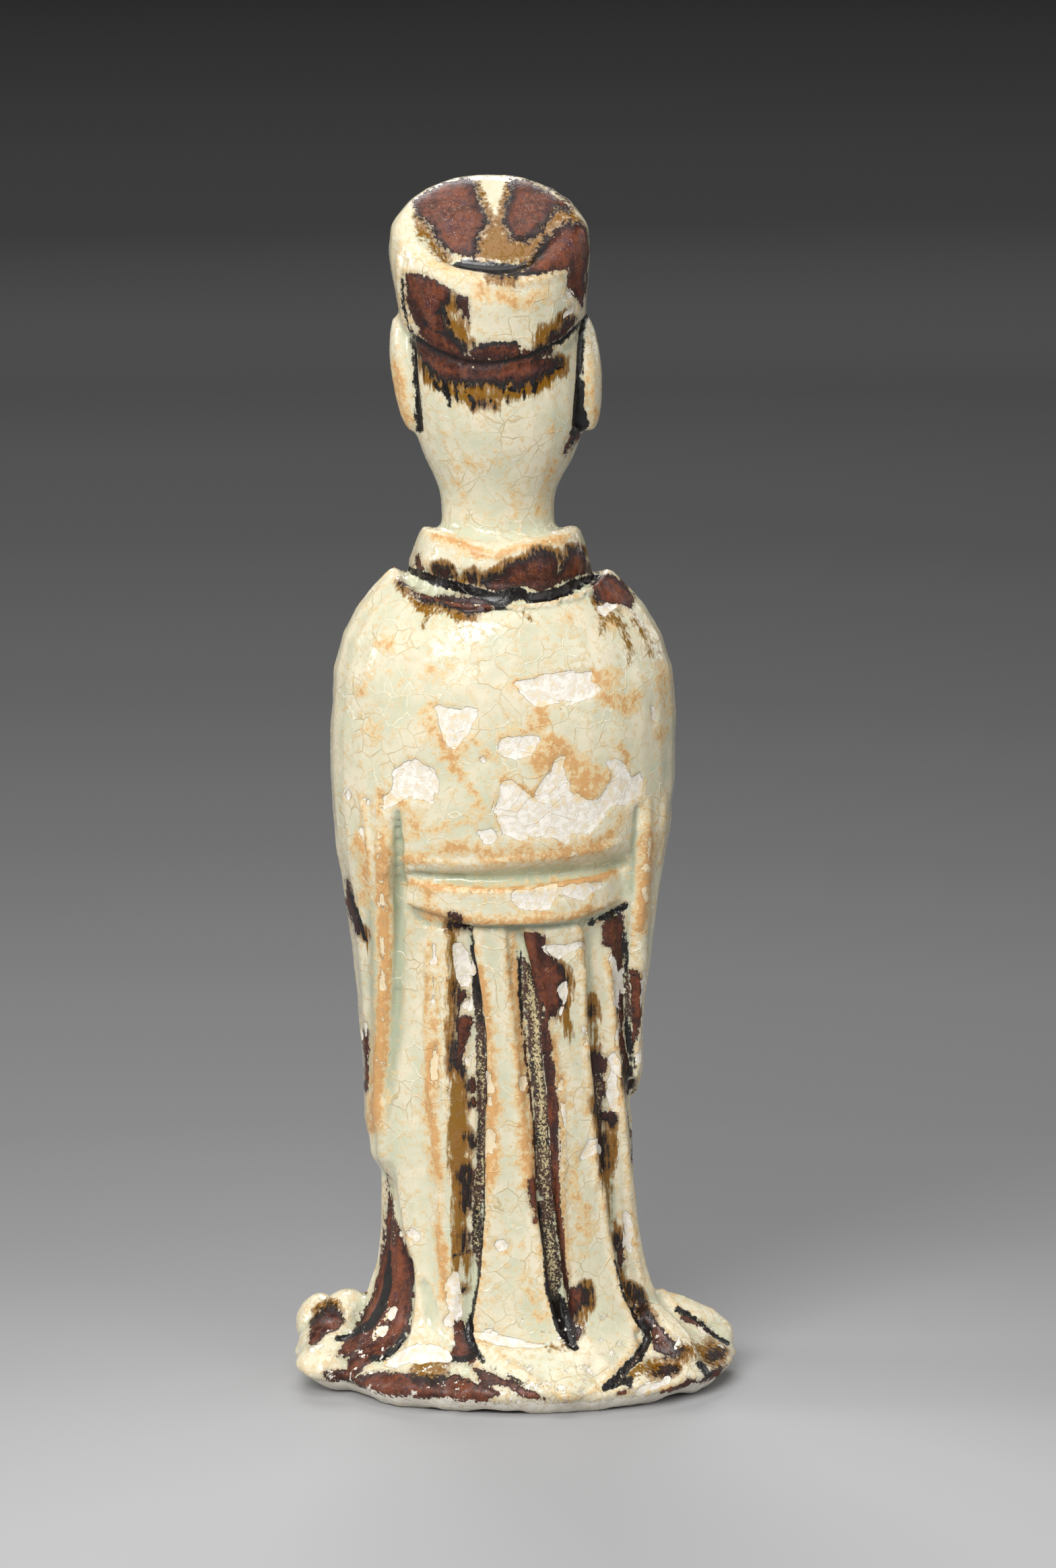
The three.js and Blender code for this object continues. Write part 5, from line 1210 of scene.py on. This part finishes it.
def glazed_stoneware():
    # Celadon and iron glaze on white stoneware, dipped, splashed and fired: glassy where it is
    # clear, satin where the iron lies thick, chalky where it has flaked. The weights below set
    # how far each noise pushes an edge to and fro, and are matched to the figure.
    material = bpy.data.materials.new("crackled_celadon_with_iron_splashes")
    material.use_nodes = True
    tree = material.node_tree
    tree.nodes.clear()
    where = add(tree, "TexCoord", output="Object")
    depth = {name: add(tree, "Attribute", attribute_name=name, output="Fac") for name in FIELDS}

    def noise(size, detail=3, roughness=0.55, at=where, output="Fac"):
        return add(tree, "TexNoise", {"Vector": at, "Scale": 1 / (size * MM), "Detail": detail,
                                      "Roughness": roughness}, output=output)

    def total(*terms):
        """Adds up pairs of a value and its weight."""
        so_far = 0
        for value, weight in terms:
            so_far = add(tree, "Math", [value, weight, so_far], operation="MULTIPLY_ADD")
        return so_far

    def rise(value, low, high):
        return add(tree, "MapRange", {"Value": value, "From Min": low, "From Max": high},
                   interpolation_type="SMOOTHSTEP")

    def both(one, other):
        return add(tree, "Math", [one, other], operation="MULTIPLY")

    def mixed(share, under, over):
        colours = [linear(c) if isinstance(c, str) else c for c in (under, over)]
        return add(tree, "Mix", {0: share, 6: colours[0], 7: colours[1]}, output=2, data_type="RGBA")

    # Unevenness, by the size of its lumps in millimetres
    streaked = add(tree, "VectorMath", [where, (1, 1, RUN_STRETCH)], operation="MULTIPLY")
    fine = noise(0.8, 6, 0.65)
    runs = noise(0.6, 3, 0.6, streaked)
    grain = noise(0.28, 2, 0.6)
    cloud = noise(6, 4, 0.6)
    rusty = noise(1.3, 8, 0.72)

    # Crackle: cells a few millimetres wide, with thin lines between them
    bend = noise(3.2, 2, 0.5, output="Color")
    bent = add(tree, "VectorMath", [bend, (CRACKLE_WANDER * MM,) * 3, where], operation="MULTIPLY_ADD")
    crackle = {"Vector": bent, "Scale": 1 / (CRACKLE_CELL * MM)}
    between = add(tree, "TexVoronoi", crackle, output="Distance", feature="DISTANCE_TO_EDGE")
    cell = add(tree, "SeparateColor", [add(tree, "TexVoronoi", crackle, output="Color")])
    faint = rise(noise(9, 3, 0.6), 0.35, 0.65)
    crack = both(rise(total((between, 1), (grain, -0.016)), 0.024, 0.002), faint)

    # The clear glaze: cream where it lies thin, grey-green where it lies thick
    near_edge = rise(depth["worn"], -1.6, 0.6)
    thick = rise(total((cloud, 1.5), (cell, 0.15), (depth["hollow"], 1.5), (near_edge, -0.5)), 0.5, 1.2)
    clear = mixed(thick, CREAM, GREEN)
    pooled = rise(total((depth["pool"], 1), (runs, 1.4), (1, -0.3)), -0.3, 1.3)
    clear = mixed(both(pooled, 0.72), clear, POOLED)
    clear = mixed(both(crack, 0.95), clear, mixed(rise(cloud, 0.45, 0.6), CRACKLE_BROWN, CRACKLE_PALE))

    # Rust, on worn edges, along the flakes and where it has seeped in
    near_flake = rise(total((depth["bare"], 1), (fine, 0.8)), -0.7, 0.7)
    rust = total((rise(depth["stain"], -1.6, 1.4), 0.29), (rusty, 1.3), (1, -0.15),
                 (depth["hollow"], -0.3), (crack, 0.05), (near_flake, 0.1), (near_edge, 0.1))
    stained = mixed(rise(rust, 0.64, 0.88), RUST_PALE, RUST)
    clear = mixed(both(rise(rust, 0.48, 0.72), 0.93), clear, stained)

    # Iron: amber where it bleeds, black along its edge, rust red and plum where it lies thick
    bleeding = rise(total((depth["amber"], 1), (cloud, 0.6)), -1.2, 0.3)
    iron = total((depth["iron"], 1), (runs, 1.2), (both(runs, bleeding), 3.4), (fine, 1.6),
                 (bleeding, -1.7), (1, -1.4))
    bleed = total((depth["amber"], 1), (runs, 3.2), (fine, 1.2), (1, -2.2))
    amber = mixed(rise(total((bleed, 0.5), (cloud, 1)), 0.6, 1.5), AMBER_THIN, AMBER_THICK)
    clear = mixed(both(rise(bleed, -0.4, 0.6), rise(iron, 0.4, 0.3)), clear, amber)
    wide_halo = both(rise(total((iron, 1), (bleeding, 1.3)), -0.9, 0.3), total((bleeding, 0.6), (1, 0.3)))
    close_halo = both(rise(iron, -0.8, 0), total((bleeding, 0.75), (1, 0.15)))
    halo = mixed(close_halo, mixed(wide_halo, clear, AMBER_THICK), AMBER_DARK)
    redder = total((cloud, 1), (fine, 0.9), (noise(2.2, 4, 0.65, streaked), 0.7), (rise(iron, 0.2, 2), 0.2),
                   (bleeding, -0.3), (depth["hollow"], -0.5))
    core = mixed(rise(redder, 1.15, 1.8), IRON_DARK, IRON_RED)
    core = mixed(both(rise(iron, 0.8, 3), rise(noise(3, 4, 0.7), 0.52, 0.64)), core, IRON_PLUM)
    edge = total((iron, 1), (bleeding, -0.8), (runs, 2.4), (cloud, -1.6), (1, -0.5))
    core = mixed(rise(edge, 0.2, -0.3), core, IRON_EDGE)
    # Pale crystal specks where the iron lies thickest, their silvery glint painted into the colour as a
    # painted highlight
    core = mixed(both(rise(grain, 0.6, 0.72), rise(iron, 1.2, 3)), core, IRON_SPECK_GLINT)
    colour = mixed(rise(iron, -0.08, 0.08), halo, core)

    # Ink black, where the iron lies in lines
    black = rise(total((depth["ink"], 1), (fine, 1.1), (runs, 0.7), (1, -0.86)), -0.12, 0.12)
    colour = mixed(black, colour, INK_BLACK)

    # Grit in the grooves, darker towards their edges
    heaped = total((depth["crust"], 1), (fine, 1.6), (1, -0.9))
    gritty = rise(heaped, -0.15, 0.15)
    pale = rise(total((noise(0.45, 4, 0.75), 1), (heaped, 0.16)), 0.58, 0.66)
    grit = mixed(pale, mixed(rise(cloud, 0.42, 0.55), SOOT, SOOT_BROWN), GRIT)
    colour = mixed(gritty, colour, grit)

    # The bare body, in flakes and along worn edges
    chipped = total((depth["worn"], 1), (noise(2.6, 5, 0.7), 6), (1, -3.9))
    height_there = add(tree, "SeparateXYZ", [where], output="Z")
    foot = total((height_there, -FOOT_EDGE / MM), (fine, 4), (1, FOOT_EDGE * FOOT_HEIGHT))
    low_down = rise(height_there, SCUFFS_END * MM, SCUFFS_FULL * MM)
    scuffs = total((low_down, 0.9), (noise(2.2, 6, 0.7), 7), (1, -5.2))
    loss = depth["bare"]
    for wear in (chipped, foot, scuffs):
        loss = add(tree, "Math", [loss, wear], operation="MAXIMUM")
    flaked = rise(total((loss, 1), (cell, 0.7), (fine, 0.7), (1, -0.7)), -0.05, 0.05)
    body = mixed(rise(rusty, 0.42, 0.6), BISCUIT, BISCUIT_DULL)
    body = mixed(both(rise(rust, 0.64, 0.8), 0.7), body, RUST_PALE)
    colour = mixed(flaked, colour, body)

    satin = rise(iron, 0, 0.5)
    rough = total((satin, SATIN_IRON), (both(satin, grain), MATT_SPECKS), (gritty, MATT_GRIT),
                  (rise(rust, 0.56, 0.7), MATT_RUST), (black, DULL_INK), (1, GLASSY))
    rough = add(tree, "Mix", {0: flaked, 2: rough, 3: CHALKY})
    height = total((flaked, FLAKE_STEP), (crack, CRACK_LIP), (both(pale, gritty), GRIT_SPECKS),
                   (both(fine, flaked), CHALK_GRAIN), (fine, GLAZE_RIPPLE), (both(grain, satin), IRON_GRAIN),
                   (satin, IRON_THICK), (rise(rust, 0.54, 0.7), RUST_SKIN))
    bump = add(tree, "Bump", {"Strength": 1, "Distance": MM, "Height": height})
    shader = add(tree, "BsdfPrincipled", {"Base Color": colour, "Roughness": rough, "Normal": bump,
                                       "IOR": GLAZE_IOR})
    add(tree, "OutputMaterial", [shader])
    return material


# The studio: a pale floor whose colour holds a painted pool of light that falls away into painted shade, soft
# lights and the camera

FLOOR_HALF = 8
PAPER_ROUGHNESS, PAPER_SPECULAR = 0.9, 0.2
# The floor's colour is painted light: it is palest, as a painted pool of light, a little behind the figure
#  on the camera's side of it, and its grey falls away from there as painted shade, by the distance in metres
PAINTED_LIGHT_MIDDLE = (0, 0.13, 0)
FLOOR_PAINTED_LIGHT_GREYS = [
    (0, "#aaaaab"), (0.1, "#acacad"), (0.17, "#99999a"), (0.236, "#878788"), (0.33, "#79797a"),
    (0.43, "#737374"), (0.6, "#646465"), (0.8, "#575758"), (1.06, "#505051"), (1.38, "#59595a"),
    (1.73, "#878788"), (2.13, "#a2a2a3"), (2.63, "#ababac"), (4, "#9a9a9b"), (7, "#8a8a8b"),
]


def floor():
    bpy.ops.object.select_all(action="DESELECT")
    bpy.ops.mesh.primitive_plane_add(size=2 * FLOOR_HALF)
    plane = bpy.context.object
    plane.name = "floor"
    # Matt backdrop paper without gloss, its grey a painted falloff of light and shade
    material = bpy.data.materials.new("matt_backdrop_paper_painted_light")
    material.use_nodes = True
    tree = material.node_tree
    away = add(tree, "VectorMath", [add(tree, "TexCoord", output="Object"), PAINTED_LIGHT_MIDDLE], output="Value",
               operation="DISTANCE")
    far = FLOOR_PAINTED_LIGHT_GREYS[-1][0]
    stops = [(place / far, colour) for place, colour in FLOOR_PAINTED_LIGHT_GREYS]
    grey = add(tree, "ValToRGB", [add(tree, "Math", [away, far], operation="DIVIDE")],
               stops=[stops[0], stops[-1]] + stops[1:-1])
    shader = tree.nodes["Principled BSDF"]
    tree.links.new(grey, shader.inputs["Base Color"])
    shader.inputs["Roughness"].default_value = PAPER_ROUGHNESS
    shader.inputs["Specular IOR Level"].default_value = PAPER_SPECULAR
    plane.data.materials.append(material)


# The lights: azimuth and elevation in degrees, then distance, width and height in metres, and
# watts. Azimuth 0 is in front of the figure, and 180 behind it, where the main camera is, and it
# grows towards the figure's left.
LIT_MIDDLE = Vector((0, 0, 0.11))
LIGHTS = {
    "key": (160, 32, 1.3, 0.8, 0.54, 17),
    "overhead": (175, 78, 1.3, 1.1, 1.1, 9),
    "strip_left": (88, 16, 1.1, 0.2, 0.44, 3.2),
    "fill_right": (226, 18, 1.4, 0.6, 0.8, 2.9),
    "edge_right": (268, 18, 1.4, 0.5, 0.6, 1.2),
    "front": (10, 36, 1.3, 0.6, 0.5, 7),
    "front_right": (-50, 20, 1.4, 0.4, 0.8, 2),
}
DARK_ROOM = "#1a1b1c"


def softbox(name, azimuth, elevation, away, wide, high, watts):
    """A soft light that faces the figure's middle."""
    light = bpy.data.lights.new(name, "AREA")
    light.shape = "RECTANGLE"
    light.size = wide
    light.size_y = high
    light.energy = watts
    around, up = math.radians(azimuth), math.radians(elevation)
    towards = Vector((math.sin(around) * math.cos(up), -math.cos(around) * math.cos(up), math.sin(up)))
    lamp = bpy.data.objects.new(name, light)
    lamp.location = LIT_MIDDLE + away * towards
    lamp.rotation_euler = (LIT_MIDDLE - lamp.location).to_track_quat("-Z", "Y").to_euler()
    scene.collection.objects.link(lamp)


def studio():
    for name, settings in LIGHTS.items():
        softbox(name, *settings)
    world = bpy.data.worlds.new("studio")
    scene.world = world
    world.use_nodes = True
    world.node_tree.nodes["Background"].inputs["Color"].default_value = linear(DARK_ROOM)


def main_camera():
    data = bpy.data.cameras.new("main_camera")
    data.sensor_width = SENSOR
    data.lens = SENSOR * CAMERA_AWAY / SEEN_HEIGHT
    camera = bpy.data.objects.new("main_camera", data)
    camera.location = camera_place
    camera.rotation_euler = (CAMERA_TARGET - camera_place).to_track_quat("-Z", "Y").to_euler()
    scene.collection.objects.link(camera)
    scene.camera = camera


scene.view_settings.view_transform = "Standard"
main_camera()
studio()
floor()
figure = fine_copy()
modelled(figure)
figure.data.materials.append(glazed_stoneware())
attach(figure, "root")
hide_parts(NODE)
